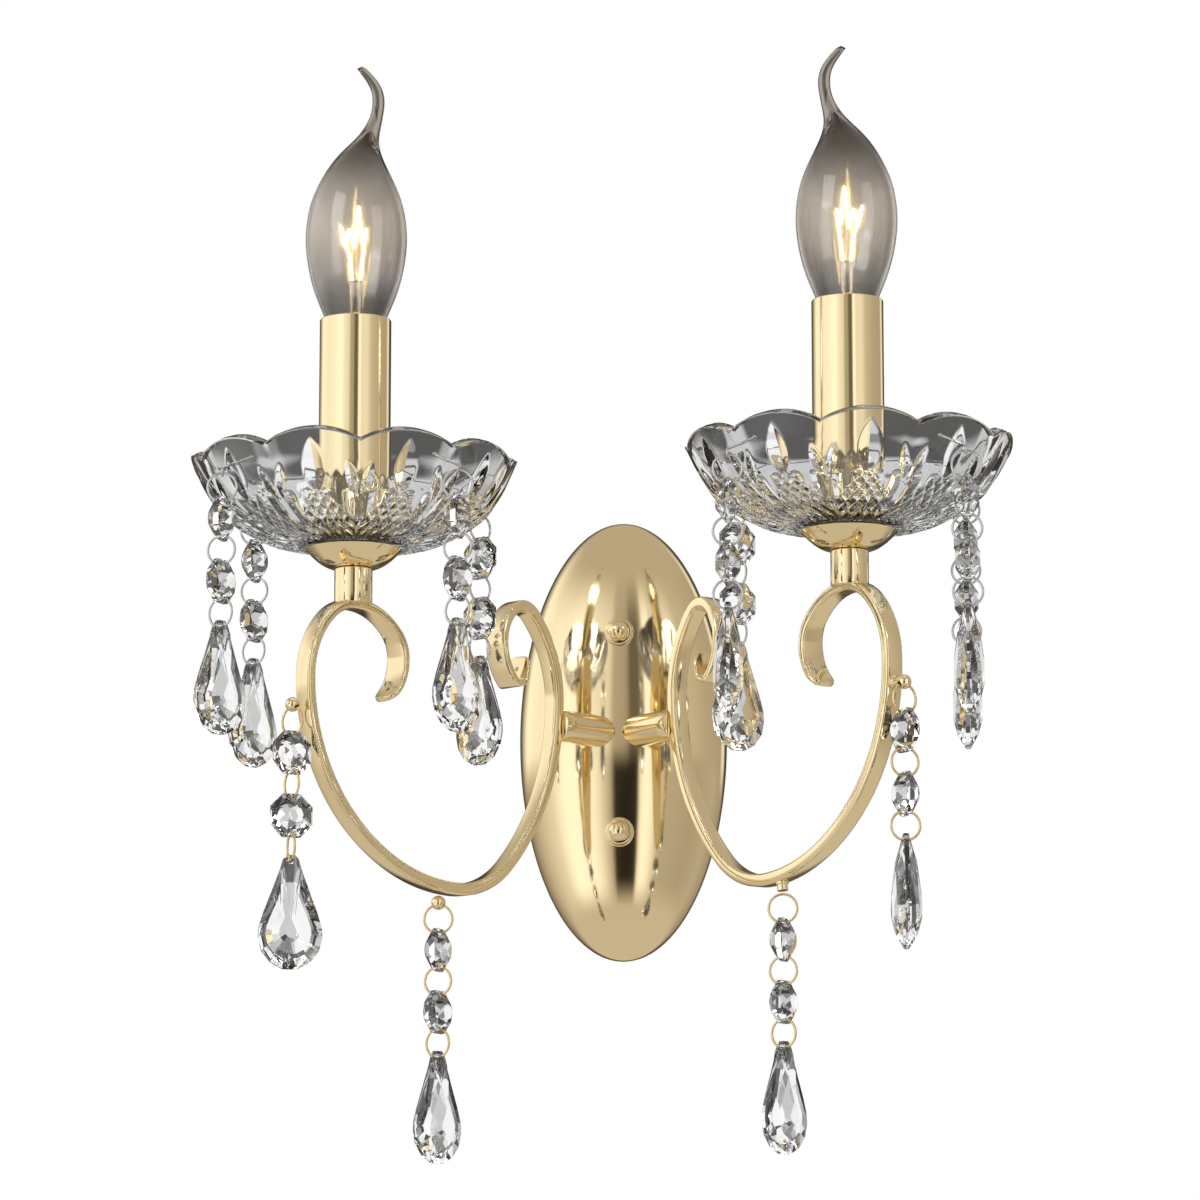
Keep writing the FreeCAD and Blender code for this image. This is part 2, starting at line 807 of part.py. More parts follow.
notch.Length = dish_radius * 1.2
notch.setExpression("Length", (S["dish_radius"] * 1.2).text)
lobes = dish_form.newObject("PartDesign::PolarPattern", "lobes")
lobes.Originals = [notch]
lobes.Axis = (plane_of(dish_form, "Z_Axis"), [""])
lobes.Angle = 360
lobes.setExpression("Occurrences", S["lobe_count"].text)
dish_form.Tip = lobes

# Each lobe carries an olive: a long pointed cut, where a wheel with a V-shaped edge met the wall.
side_arc = Part.Arc(
    Vector(dish_knee_radius, 0, dish_knee_height),
    Vector(number(side_r), 0, number(side_h)),
    Vector(dish_radius, 0, dish_height),
).toShape().Curve
rise_above = olive_height - side_arc.Center.z
outward_run = math.sqrt(side_arc.Radius**2 - rise_above**2)
square_out = Vector(outward_run, 0, rise_above) * (1 / side_arc.Radius)
hub = side_arc.Center + square_out * (side_arc.Radius + wheel_radius - olive_depth)
half_edge = olive_half_width * 1.5
bevel = half_edge * olive_depth / olive_half_width
flanks = [
    Part.makeCone(wheel_radius, wheel_radius - bevel, half_edge, hub, Vector(0, way, 0)) for way in (1, -1)
]
wheels = []
for n in range(lobe_count):
    wheel = flanks[0].fuse(flanks[1])
    wheel.rotate(Vector(0, 0, 0), Vector(0, 0, 1), 90 + (n + 0.5) * 360 / lobe_count)
    wheels.append(wheel)
cut_dish = cut(dish_form, shown(Part.makeCompound(wheels), "olive_wheels"), "olive_dish")

holder_bore = S["cap_radius"] + S["cap_clearance"]
holder_form = turned(
    "lampholder_form",
    [
        (tube, 0),
        (S["holder_radius"], 0),
        (S["holder_radius"], S["holder_height"]),
        (holder_bore, S["holder_height"]),
        (holder_bore, S["holder_foot"]),
        (tube, S["holder_foot"]),
    ],
)
sleeve_in = S["sleeve_radius"] - S["sleeve_wall"]
sleeve_form = turned(
    "candle_sleeve_form",
    [
        (S["sleeve_radius"], 0),
        (S["sleeve_radius"], S["sleeve_height"] - S["sleeve_wall"]),
        ("via", S["sleeve_radius"] - S["sleeve_wall"] * 0.3, S["sleeve_height"] - S["sleeve_wall"] * 0.3),
        (S["sleeve_radius"] - S["sleeve_wall"], S["sleeve_height"]),
        (S["sleeve_radius"] - S["sleeve_wall"] * 1.5, S["sleeve_height"] - S["sleeve_wall"] * 0.5),
        (sleeve_in, S["sleeve_height"] - S["sleeve_wall"] * 2),
        (sleeve_in, 0),
    ],
)
cap_form = turned(
    "bulb_cap_form",
    [
        (0, -S["cap_height"]),
        (S["cap_radius"] * 0.45, -S["cap_height"]),
        (S["cap_radius"] * 0.55, S["cap_height"] * -0.93),
        (S["cap_radius"], S["cap_height"] * -0.8),
        (S["cap_radius"], 0),
        (S["cap_radius"] - S["cap_wall"], 0),
        (S["cap_radius"] - S["cap_wall"], S["cap_height"] * -0.78),
        (0, S["cap_height"] * -0.86),
    ],
)
mount_neck = S["mount_radius"] + S["mount_room"] / 2
mount_foot = S["cap_radius"] - S["cap_wall"] - S["seat_gap"]
mount_form = turned(
    "bulb_mount_form",
    [
        (0, S["cap_height"] * -0.3),
        (mount_foot, S["cap_height"] * -0.3),
        (mount_foot, -S["seat_gap"] * 2),
        (mount_neck, -S["seat_gap"] * 2),
        (mount_neck, S["mount_height"] * 0.2),
        (S["mount_radius"], S["mount_height"] * 0.45),
        (S["mount_radius"], S["mount_height"]),
        (0, S["mount_height"]),
    ],
)
doc.recompute()


def bulb_glass(lean, wall_in):
    """A flame-shaped bulb with a bent tip, blown round an axis that leans one way and back."""
    wires = []
    stations = [
        (0, 7.4, 0),
        (3.5, 9.4, 0),
        (7, 10.7, 0),
        (14, 13.7, 0),
        (23, 16.5, 0),
        (33, 17.5, 0),
        (41, 16.6, 0.1),
        (48, 14.3, 0.4),
        (55, 11.2, 1.1),
        (60, 8.5, 2.0),
        (65, 5.4, 3.2),
        (69, 3.4, 4.8),
        (74, 2.4, 6.6),
        (80, 2.5, 7.9),
        (85, 2.7, 7.6),
        (89, 2.6, 5.9),
        (93, 2.3, 3.4),
        (96.5, 1.7, 1.2),
    ]
    if wall_in:
        stations = stations[:12]
    size = bulb_radius / stations[5][1]
    stretch, bend = bulb_length / 96.5, bulb_bend / 7.9
    for height, radius, aside in stations:
        centre = Vector(lean * aside * bend, 0, height * stretch)
        wires.append(Part.Wire(Part.Edge(Part.Circle(centre, Vector(0, 0, 1), radius * size - wall_in))))
    return Part.makeLoft(wires, True, False)


def wire_through(points, radius):
    """A round wire along straight runs, with a ball at each bend."""
    shape = None
    for start, end in zip(points, points[1:]):
        run = end - start
        part = Part.makeCylinder(radius, run.Length, start, run)
        part = part.fuse(Part.makeSphere(radius, end))
        shape = shape.fuse(part) if shape else part
    return shape


def upright(radius, start, end, axis):
    return Part.makeCylinder(radius, end - start, axis + Vector(0, 0, start))


lamp_parts = {
    "drip_cup": cup_form,
    "glass_dish": cut_dish,
    "lampholder": holder_form,
    "candle_sleeve": sleeve_form,
    "bulb_cap": cap_form,
    "bulb_mount": mount_form,
}
gap = seat_gap
cup_at = stem_top + gap
dish_at = cup_at + cup_height + gap
inside_at = dish_at + dish_floor + gap
bulb_at = inside_at + holder_height + bulb_lift
heights = {
    "drip_cup": cup_at,
    "glass_dish": dish_at,
    "lampholder": inside_at,
    "candle_sleeve": inside_at,
    "bulb_cap": bulb_at,
    "bulb_mount": bulb_at,
}
corners = {"front_left": -45, "front_right": 45, "back_left": -135, "back_right": 135}
pin_level = pin_height


def outward(degrees):
    """The level direction at an angle from straight forward, toward the right."""
    a = math.radians(degrees)
    return Vector(math.sin(a), -math.cos(a), 0)


for word, plane in planes.items():
    side = plane.side
    axis = lamp_axes[word]
    for name, form in lamp_parts.items():
        at = Placement(axis + Vector(0, 0, heights[name]), Rotation())
        if name == "glass_dish":
            at = Placement(at.Base, Rotation(Vector(0, 0, 1), -side * lobe_start))
        thing = copy_at(form, word + "_" + name, at)
        if name != "glass_dish":
            keep(word + "_" + name, thing)
            continue
        dish = thing
    # The stem stands on the bar's top in a saddle; the threaded tube holds the stack above it.
    foot = bar_top - stem_seat
    stem = upright(stem_radius, foot, stem_top, axis)
    tube_foot = bar_top + stem_floor
    stem = stem.cut(upright(number(tube), tube_foot, stem_top * 2, axis)).cut(bar_solid(plane, gap))
    keep(word + "_stem", shown(stem, word + "_stem"))
    tube_top = inside_at + holder_foot - gap
    pipe = upright(nipple_radius, tube_foot + gap, tube_top, axis)
    pipe = pipe.cut(upright(nipple_bore, tube_foot, tube_top * 2, axis))
    keep(word + "_nipple", shown(pipe, word + "_nipple"))
    # Bulb: glass round a hollow, seated in its cap.
    lean = -side
    base = axis + Vector(0, 0, bulb_at + gap)
    shell = bulb_glass(lean, 0.0)
    hollow = bulb_glass(lean, bulb_wall)
    neck = Part.makeCylinder(mount_radius + mount_room, mount_height)
    neck.translate(Vector(0, 0, -gap))
    hollow.translate(Vector(0, 0, bulb_wall * 0.5))
    glass_shape = shell.cut(hollow).cut(neck)
    glass_shape.translate(base)
    keep(word + "_bulb_glass", shown(glass_shape, word + "_bulb_glass"))
    # Filament: two supports from the mount's head and a wire that zigzags between them.
    head = axis + Vector(0, 0, bulb_at + mount_height)
    wide, tall = filament_spread, filament_rise
    path = [Vector(-0.3 * wide, 0, gap * 3), Vector(-wide, 0, tall * 0.5), Vector(-wide, 0, tall)]
    zigzag = [Vector(wide * (n / 3.0 - 1), 0, tall * (0.62 if n % 2 else 1.0)) for n in range(1, 7)]
    path = path + zigzag + [Vector(wide, 0, tall * 0.5), Vector(0.3 * wide, 0, gap * 3)]
    wire = wire_through([head + p for p in path], filament_radius)
    keep(word + "_filament", shown(wire, word + "_filament"))
    # Hanger pins: each passes down through the dish's wall and ends in an eye outside.
    pins, bores = [], []
    for name, degrees in corners.items():
        out = outward(degrees)
        yaw = 0.0
        if name == ("back_right" if side < 0 else "back_left"):
            yaw = -side * (90 - arm_angle + inner_eye_turn)
        wire_way = Vector(math.cos(math.radians(yaw)), math.sin(math.radians(yaw)), 0)
        eye = axis + out * hang_radius + Vector(0, 0, dish_at + pin_level)
        top = eye + Vector(0, 0, eye_radius)
        slope = Vector(0, 0, 1) * math.tan(math.radians(pin_slope)) - out
        start = top + slope * pin_run
        torus = Part.makeTorus(eye_radius, eye_wire, eye, wire_way)
        pin = Part.makeCylinder(pin_radius, (start - top).Length, start, top - start)
        pin = pin.fuse(Part.makeSphere(pin_radius, top))
        pin = pin.fuse(Part.makeSphere(pin_head_radius, start))
        pins.append(shown(pin.fuse(torus), word + "_" + name + "_pin"))
        room = pin_radius + pin_clearance
        bore = Part.makeCylinder(room, (start - top).Length, start, top - start)
        bores.append(shown(bore, word + "_" + name + "_bore"))
        hang_points[word + "_" + name] = (eye, wire_way)
    keep(word + "_hanger_pins", grouped(pins, word + "_hanger_pins"))
    keep(word + "_glass_dish", cut(dish, fused(bores, word + "_dish_bores"), word + "_glass_dish"))


# Crystals: an octagon bead with a hole at each end, and a faceted drop with one at its top.
def octagon_half(name, turn, table, girdle):
    """A faceted lens between two tables, made as one straight-sided loft."""
    half, edge = S["octagon_thickness"] / 2, S["octagon_girdle"] / 2
    rings = []
    for n, (height, width) in enumerate([(-half, table), (-edge, girdle), (edge, girdle), (half, table)]):
        ring = doc.addObject("Part::RegularPolygon", "%s_ring_%d" % (name, n))
        ring.Polygon = 8
        ring.Placement = Placement(Vector(0, 0, 0), Rotation(Vector(0, 0, 1), turn))
        bind(ring, Circumradius=width / (2 * math.cos(math.pi / 8)), z=height)
        rings.append(ring)
    loft = doc.addObject("Part::Loft", name)
    loft.Sections = rings
    loft.Solid = True
    loft.Ruled = True
    return loft


eighth = 22.5
bead_body = doc.addObject("Part::Common", "octagon_body")
bead_body.Base = octagon_half("octagon_kites", eighth, S["octagon_table"], S["octagon_width"])
bead_body.Tool = octagon_half("octagon_stars", 0, S["octagon_table"] * 0.85, S["octagon_width"] * 1.15)
ends = []
for sign in (1, -1):
    ends.append(
        primitive(
            "Cylinder",
            "octagon_hole_%d" % (sign + 1),
            Radius=S["crystal_hole_radius"],
            Height=S["octagon_thickness"] * 2,
            y=S["octagon_hole_offset"] * sign,
            z=-S["octagon_thickness"],
        )
    )
octagon = cut(bead_body, fused(ends, "octagon_holes"), "octagon_form")
link = primitive("Torus", "link_form", Radius1=S["ring_radius"], Radius2=S["ring_wire"])

# The drop's outline, down from its top: (half width, depth) as shares of its width and length.
OUTLINE = [
    (0.12, 0.0),
    (0.22, 0.035),
    (0.22, 0.12),
    (0.46, 0.31),
    (0.76, 0.50),
    (0.95, 0.63),
    (1.0, 0.71),
    (0.9, 0.83),
    (0.62, 0.93),
    (0.22, 0.99),
]
half_width, length = drop_width / 2, drop_length
belly = length * 0.66


def drop_ring(share, height):
    right = [(w * half_width, -d * length) for w, d in OUTLINE]
    corners = right + [(-x, y) for x, y in reversed(right)]
    points = [Vector(x * share, -belly + (y + belly) * share, height) for x, y in corners]
    return Part.makePolygon(points + points[:1])


thick = drop_thickness / 2
edge = octagon_girdle / 2
steps = [(0.22, thick), (0.62, thick * 0.72), (1.0, edge)]
rings = [drop_ring(share, -height) for share, height in steps]
rings += [drop_ring(share, height) for share, height in reversed(steps)]
drop_solid = Part.makeLoft(rings, True, True)
drop_hole = Part.makeCylinder(
    crystal_hole_radius, thick * 4, Vector(0, -drop_hole_depth, -thick * 2)
)
drop = shown(drop_solid.cut(drop_hole), "drop_form")
doc.recompute()


def hung(form, centre, yaw, name):
    """Hang a form drawn flat with its top along Y, so that it faces `yaw` from the front."""
    turn = Rotation(Vector(0, 0, 1), yaw).multiply(Rotation(Vector(1, 0, 0), 90))
    return copy_at(form, name, Placement(centre, turn))


# Chains: ring, octagon, ring, octagon, ring, drop. Each link faces a quarter turn from the last.
offset = octagon_hole_offset


def chain(name, ring_centre, yaw, twist):
    rings, crystals = [], []
    centre = Vector(ring_centre)
    facing = yaw
    for n in range(3):
        rings.append(hung(link, centre, facing, "%s_ring_%d" % (name, n + 1)))
        low = centre - Vector(0, 0, ring_radius)
        facing = facing + 90 - twist
        if n < 2:
            middle = low - Vector(0, 0, offset - gap * 0.2)
            crystals.append(hung(octagon, middle, facing, "%s_octagon_%d" % (name, n + 1)))
            centre = middle - Vector(0, 0, offset - gap * 0.2 + ring_radius)
            facing = facing - 90 - twist
        else:
            top = low + Vector(0, 0, drop_hole_depth + gap * 0.2)
            crystals.append(hung(drop, top, facing, name + "_drop"))
    keep(name + "_rings", grouped(rings, name + "_rings"))
    keep(name + "_crystals", grouped(crystals, name + "_crystals"))


for word, plane in planes.items():
    side = plane.side
    for name in corners:
        eye, wire_way = hang_points[word + "_" + name]
        yaw = math.degrees(math.atan2(wire_way.y, wire_way.x))
        rest = eye_radius - eye_wire - gap - ring_wire
        centre = eye - Vector(0, 0, rest + ring_radius)
        twist = left_twist if side < 0 else 0.0
        chain(word + "_" + name, centre, yaw, twist if wire_way.y == 0 else 0.0)
    for name in ("arm_outer", "arm_bottom"):
        hole, way = hang_points[word + "_" + name]
        yaw = math.degrees(math.atan2(way.y, way.x))
        long = math.sqrt(peg_ball_radius ** 2 - peg_hole_drop ** 2)
        sag = ring_radius - math.sqrt(ring_radius**2 - long**2)
        rest = peg_hole_radius - gap - ring_wire - sag
        centre = hole - Vector(0, 0, rest + ring_radius)
        chain(word + "_" + name, centre, yaw if abs(yaw) < 90 else yaw - 180, arm_twist)

# Every sub-part is rebuilt, checked and written out.
doc.recompute()
os.makedirs("parts", exist_ok=True)
for thing in doc.Objects:
    if "Invalid" in thing.State or "Error" in thing.State:
        raise RuntimeError("not built: " + thing.Name)
total = 0
for label, thing in pieces.items():
    shape = thing.Shape
    if shape.isNull() or not shape.isValid():
        raise RuntimeError("bad shape: " + label)
    shape.exportStep("parts/" + label + ".step")
    box = shape.BoundBox
    print(
        "%-34s %2d solids %9.1f mm3  x %7.1f %7.1f  y %7.1f %7.1f  z %7.1f %7.1f"
        % (label, len(shape.Solids), shape.Volume, box.XMin, box.XMax, box.YMin, box.YMax, box.ZMin, box.ZMax)
    )
print(len(pieces), "sub-parts")
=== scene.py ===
import math

import bmesh
import bpy
import numpy as np
from mathutils import Matrix


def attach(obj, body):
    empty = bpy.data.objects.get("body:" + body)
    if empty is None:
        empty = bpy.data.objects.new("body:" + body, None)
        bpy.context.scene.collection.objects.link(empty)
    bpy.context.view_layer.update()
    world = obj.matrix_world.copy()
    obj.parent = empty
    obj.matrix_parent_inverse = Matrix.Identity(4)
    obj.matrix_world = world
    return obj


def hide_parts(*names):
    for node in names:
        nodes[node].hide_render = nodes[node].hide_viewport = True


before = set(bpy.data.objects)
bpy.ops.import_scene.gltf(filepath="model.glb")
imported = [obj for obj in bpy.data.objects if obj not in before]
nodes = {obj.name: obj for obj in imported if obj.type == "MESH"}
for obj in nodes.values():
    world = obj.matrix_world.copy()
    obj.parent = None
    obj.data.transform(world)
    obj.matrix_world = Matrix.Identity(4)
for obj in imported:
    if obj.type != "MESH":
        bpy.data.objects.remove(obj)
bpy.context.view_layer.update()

# Plate: an oval dome drawn from brass sheet, polished and plated pale gold, open to the wall.
# Two small flat seats are raised on it for the cap nuts. Sizes of pieces are in millimetres
# throughout, and those of finishes, lamps and welds are in metres.
METRE = 1000.0
UP = np.array([0, 0, 1.0])
FORWARD = (0, -1, 0)
PLATE = np.array([37.5, 27.0, 80.0])  # half its width, its depth, half its height
WALL = 1.2
RIM_START = 0.012
PLATE_ROUND, PLATE_ROWS = 192, 60
STUDS = 36.0
SEAT, SEAT_FOOT, SEAT_RADIUS = 25.15, 20.0, 5.2
GOLD, GOLD_SHADE = (0.90, 0.76, 0.48, 1), (0.87, 0.72, 0.44, 1)
GLOSS, HAZE = 0.05, 0.07
WAVE_STRENGTH, WAVE_DEPTH = 0.10, 0.0003
WELD = 2e-6


class Value:
    """A shader socket; sums and products of it add Math nodes."""

    def __init__(self, finish, socket):
        self.finish = finish
        self.socket = socket

    def math(self, operation, *others):
        """A Math node on this value and the others, in that order."""
        inputs = dict(enumerate((self,) + others))
        return self.finish.node("ShaderNodeMath", {"operation": operation}, inputs)

    def also(self, output):
        """Another output of the same node."""
        return Value(self.finish, self.socket.node.outputs[output])

    def __add__(self, other):
        return self.math("ADD", other)

    def __mul__(self, other):
        return self.math("MULTIPLY", other)

    def __sub__(self, other):
        return self.math("SUBTRACT", other)

    def __rsub__(self, other):
        return self.finish.node("ShaderNodeMath", {"operation": "SUBTRACT"}, {0: other, 1: self})

    def __pow__(self, other):
        return self.math("POWER", other)

    __radd__ = __add__
    __rmul__ = __mul__


class Finish:
    """A material under one name, built from nodes on Object coordinates."""

    def __init__(self, name):
        self.material = bpy.data.materials.new(name)
        self.material.use_nodes = True
        self.tree = self.material.node_tree
        self.tree.nodes.clear()

    def node(self, kind, settings=None, inputs=None, output=0):
        """One node: its settings first, a ramp's stops among them, then its sockets' values or
        links. Gives one of its outputs."""
        made = self.tree.nodes.new(kind)
        for key, value in (settings or {}).items():
            if key == "stops":
                for n, (place, colour) in enumerate(value):
                    stop = made.color_ramp.elements[n] if n < 2 else made.color_ramp.elements.new(place)
                    stop.position, stop.color = place, colour
            else:
                setattr(made, key, value)
        for key, value in (inputs or {}).items():
            socket = made.inputs[key]
            if isinstance(value, Value):
                self.tree.links.new(value.socket, socket)
            else:
                socket.default_value = value
        return Value(self, made.outputs[output])

    def place(self):
        """The place on the object, in metres."""
        return self.node("ShaderNodeTexCoord", output="Object")

    def noise(self, scale, detail=2.0, rough=0.5):
        """Cloudy noise from 0 to 1, with so many clouds to the metre."""
        inputs = {"Vector": self.place(), "Scale": scale, "Detail": detail, "Roughness": rough}
        return self.node("ShaderNodeTexNoise", None, inputs)

    def between(self, factor, low, high):
        """A number that goes from low to high as the factor goes from 0 to 1."""
        return factor * (high - low) + low

    def blend(self, factor, first, second):
        """A colour that goes from the first to the second as the factor goes from 0 to 1."""
        return self.node("ShaderNodeMix", {"data_type": "RGBA"}, {0: factor, 6: first, 7: second}, output=2)

    def bump(self, height, strength, distance):
        """The normal that a height of so many metres gives."""
        inputs = {"Height": height, "Strength": strength, "Distance": distance}
        return self.node("ShaderNodeBump", None, inputs)

    def principled(self, inputs):
        """The surface itself, as one shader."""
        return self.node("ShaderNodeBsdfPrincipled", None, inputs)

    def done(self, shader):
        """Send a shader to the surface, and give the material."""
        out = self.tree.nodes.new("ShaderNodeOutputMaterial")
        self.tree.links.new(shader.socket, out.inputs["Surface"])
        return self.material

    def made_of(self, inputs):
        """The material, where one shader is all of it."""
        return self.done(self.principled(inputs))


def gold_plating():
    """Polished plating: a faint waviness from polishing, and a haze that comes and goes."""
    f = Finish("gold plating")
    cloud = f.noise(35.0, 3.0)
    fine = f.noise(900.0, 2.0)
    wave = f.noise(70.0, 1.0)
    return f.made_of(
        {
            "Base Color": f.blend(cloud, GOLD, GOLD_SHADE),
            "Metallic": 1.0,
            "Roughness": f.between(cloud * 0.7 + fine * 0.3, GLOSS, GLOSS + HAZE),
            "Normal": f.bump(wave, WAVE_STRENGTH, WAVE_DEPTH),
        }
    )


gold = gold_plating()


def linked(name, data):
    """A new object of the scene, at the origin."""
    made = bpy.data.objects.new(name, data)
    bpy.context.scene.collection.objects.link(made)
    return made


def surface(name, grids, material, crease=30.0):
    """One mesh object from grids of points in millimetres.

    A grid is (points, round_first, round_second): an array (m, n, 3), and whether its first and
    its second direction join up with themselves. Faces are the grid's cells, turned so that the
    skin's volume counts as positive, or as negative for a grid with a fourth entry, which is a
    hollow. Points that fall together, at a seam or a pole, are merged.
    """
    points, faces, start = [], [], 0
    for grid, round_first, round_second, *hollow in grids:
        m, n = grid.shape[:2]
        i = np.arange(m if round_first else m - 1)[:, None]
        j = np.arange(n if round_second else n - 1)[None, :]
        a, b = i * n + j, ((i + 1) % m) * n + j
        c, d = ((i + 1) % m) * n + (j + 1) % n, i * n + (j + 1) % n
        cells = np.stack([x.ravel() for x in np.broadcast_arrays(a, b, c, d)], 1)
        flat = grid.reshape(-1, 3)
        p, q, r, s = (flat[cells[:, k]] - flat.mean(0) for k in range(4))
        volume = (np.cross(q, r) * p).sum() + (np.cross(r, s) * p).sum()
        if (volume < 0) != bool(hollow):
            cells = cells[:, ::-1]
        faces.append(cells + start)
        points.append(flat)
        start += m * n
    mesh = bpy.data.meshes.new(name)
    mesh.from_pydata((np.concatenate(points) / METRE).tolist(), [], np.concatenate(faces).tolist())
    skin = bmesh.new()
    skin.from_mesh(mesh)
    bmesh.ops.remove_doubles(skin, verts=skin.verts, dist=WELD)
    skin.to_mesh(mesh)
    skin.free()
    made = linked(name, mesh)
    mesh.shade_smooth()
    mesh.set_sharp_from_angle(angle=math.radians(crease))
    mesh.materials.append(material)
    return made


def once_round(count):
    """Angles evenly spaced once round a circle."""
    return np.linspace(0, 2 * math.pi, count, endpoint=False)


def rounded(corners, steps=5):
    """A profile through corners (across, up, fillet): each fillet is an arc tangent to both runs."""
    out = []
    for n, (x, y, fillet) in enumerate(corners):
        p = np.array([x, y], float)
        if fillet <= 0 or n in (0, len(corners) - 1):
            out.append(p[None])
            continue
        a = np.array(corners[n - 1][:2], float) - p
        b = np.array(corners[n + 1][:2], float) - p
        la, lb = np.linalg.norm(a), np.linalg.norm(b)
        a, b = a / la, b / lb
        half = 0.5 * math.acos(np.clip(a @ b, -1, 1))
        if half > math.pi / 2 - 0.01:
            out.append(p[None])
            continue
        reach = min(fillet / math.tan(half), 0.49 * la, 0.49 * lb)
        radius = reach * math.tan(half)
        centre = p + (a + b) / np.linalg.norm(a + b) * radius / math.sin(half)
        u, v = p + a * reach - centre, p + b * reach - centre
        t = np.linspace(0, 1, steps + 1)[:, None]
        span = math.acos(np.clip(u @ v / radius**2, -1, 1))
        out.append(centre + (np.sin((1 - t) * span) * u + np.sin(t * span) * v) / math.sin(span))
    return np.concatenate(out)


def turned(profile, origin, along=(0, 0, 1), around=96):
    """A profile (radius, distance) turned about a line: origin + distance * along + radius * a
    direction that goes once round it."""
    w = np.array(along, float)
    w /= np.linalg.norm(w)
    u = np.cross(w, (1, 0, 0) if abs(w[0]) < 0.9 else (0, 1, 0))
    u /= np.linalg.norm(u)
    v = np.cross(w, u)
    t = once_round(around)[:, None, None]
    r, h = profile[None, :, 0:1], profile[None, :, 1:2]
    return np.array(origin) + h * w + r * (np.cos(t) * u + np.sin(t) * v), True, False


def dome():
    """Half an ellipsoid, outside and inside: x and z go round an oval, y goes from the wall to
    the front as the oval shrinks; the rim between the two skins is rounded."""
    t = once_round(PLATE_ROUND)[:, None]
    w = np.linspace(RIM_START, math.pi / 2, PLATE_ROWS)[None, :]
    skins = []
    for size, order in ((PLATE, 1), (PLATE - WALL, -1)):
        v = w[:, ::order]
        aside = size[0] * np.cos(v) * np.sin(t)
        ahead = -size[1] * np.sin(v) + 0 * t
        height = size[2] * np.cos(v) * np.cos(t)
        skins.append(np.stack([aside, ahead, height], 2))
    outer, inner = skins
    rim = (outer[:, :1] + inner[:, -1:]) / 2
    rim[..., 1] = 0.0
    return np.concatenate([rim, outer, inner, rim], 1), True, False


seat_profile = [(0, SEAT_FOOT, 0), (SEAT_RADIUS, SEAT_FOOT, 0), (SEAT_RADIUS, SEAT, 0.35), (0, SEAT, 0)]
seat_profile = rounded(seat_profile)
seats = [turned(seat_profile, (0, 0, z), FORWARD, 64) for z in (STUDS, -STUDS)]
plate = surface("plate", [dome()] + seats, gold)
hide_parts("backplate")
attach(plate, "wall_light")

# Cap nuts: turned brass with a flange and a domed end, plated with the plate. They hold the
# plate on its two studs.
NUT, NUT_FLANGE, NUT_BORE = 3.7, 4.7, 2.1
CAP_FOOT, CAP, BORE_DEPTH = 2.3, 3.68, 4.0
NUT_GAP = 0.1
flange = [(NUT_BORE, 0, 0), (NUT_FLANGE, 0, 0), (NUT_FLANGE, 0.7, 0.3)]
flange += [(4.2, 1.1, 0.3), (NUT, 1.15, 0), (NUT, CAP_FOOT, 0)]
t = np.linspace(0, math.pi / 2, 14)
cap = np.stack([NUT * np.cos(t), CAP_FOOT + CAP * np.sin(t)], 1)[1:]
bore = [[0, BORE_DEPTH], [NUT_BORE, BORE_DEPTH], [NUT_BORE, 0]]
nut_profile = np.concatenate([rounded(flange), cap, bore])
nuts = [turned(nut_profile, (0, -SEAT - NUT_GAP, z), FORWARD, 64) for z in (STUDS, -STUDS)]
cap_nuts = surface("nuts", nuts, gold)
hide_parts("cap_nuts")
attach(cap_nuts, "wall_light")

# Inside the plate: a zinc-plated steel strap with two studs, a moulded terminal block with
# its screws, and the wedge and nut that hold each arm's boss.
ZINC, ZINC_GRAIN = (0.56, 0.58, 0.60, 1), (0.66, 0.67, 0.66, 1)
CREAM, CREAM_SHADE = (0.82, 0.80, 0.73, 1), (0.74, 0.72, 0.66, 1)


def zinc_plating():
    """Dull bluish steel with a fine spangle and a cloudy polish."""
    f = Finish("zinc plating")
    grain = f.node("ShaderNodeTexVoronoi", None, {"Vector": f.place(), "Scale": 700.0})
    cloud = f.noise(90.0, 4.0)
    return f.made_of(
        {
            "Base Color": f.blend(grain, ZINC, ZINC_GRAIN),
            "Metallic": 1.0,
            "Roughness": f.between(cloud, 0.28, 0.48),
            "Normal": f.bump(cloud, 0.2, 0.0002),
        }
    )


def moulded_plastic():
    """Cream heat-proof plastic with a fine moulded grain."""
    f = Finish("moulded plastic")
    grain = f.noise(1400.0, 3.0)
    return f.made_of(
        {
            "Base Color": f.blend(f.noise(60.0), CREAM, CREAM_SHADE),
            "Roughness": f.between(grain, 0.4, 0.6),
            "Normal": f.bump(grain, 0.3, 0.0001),
        }
    )


def dress(material, *names):
    """Give CAD nodes a finish."""
    for name in names:
        mesh = nodes[name].data
        mesh.materials.clear()
        mesh.materials.append(material)


zinc, plastic = zinc_plating(), moulded_plastic()
dress(zinc, "wall_strap", "fixing_studs", "terminal_screws", "left_boss_nut", "right_boss_nut")
dress(plastic, "terminal_block")

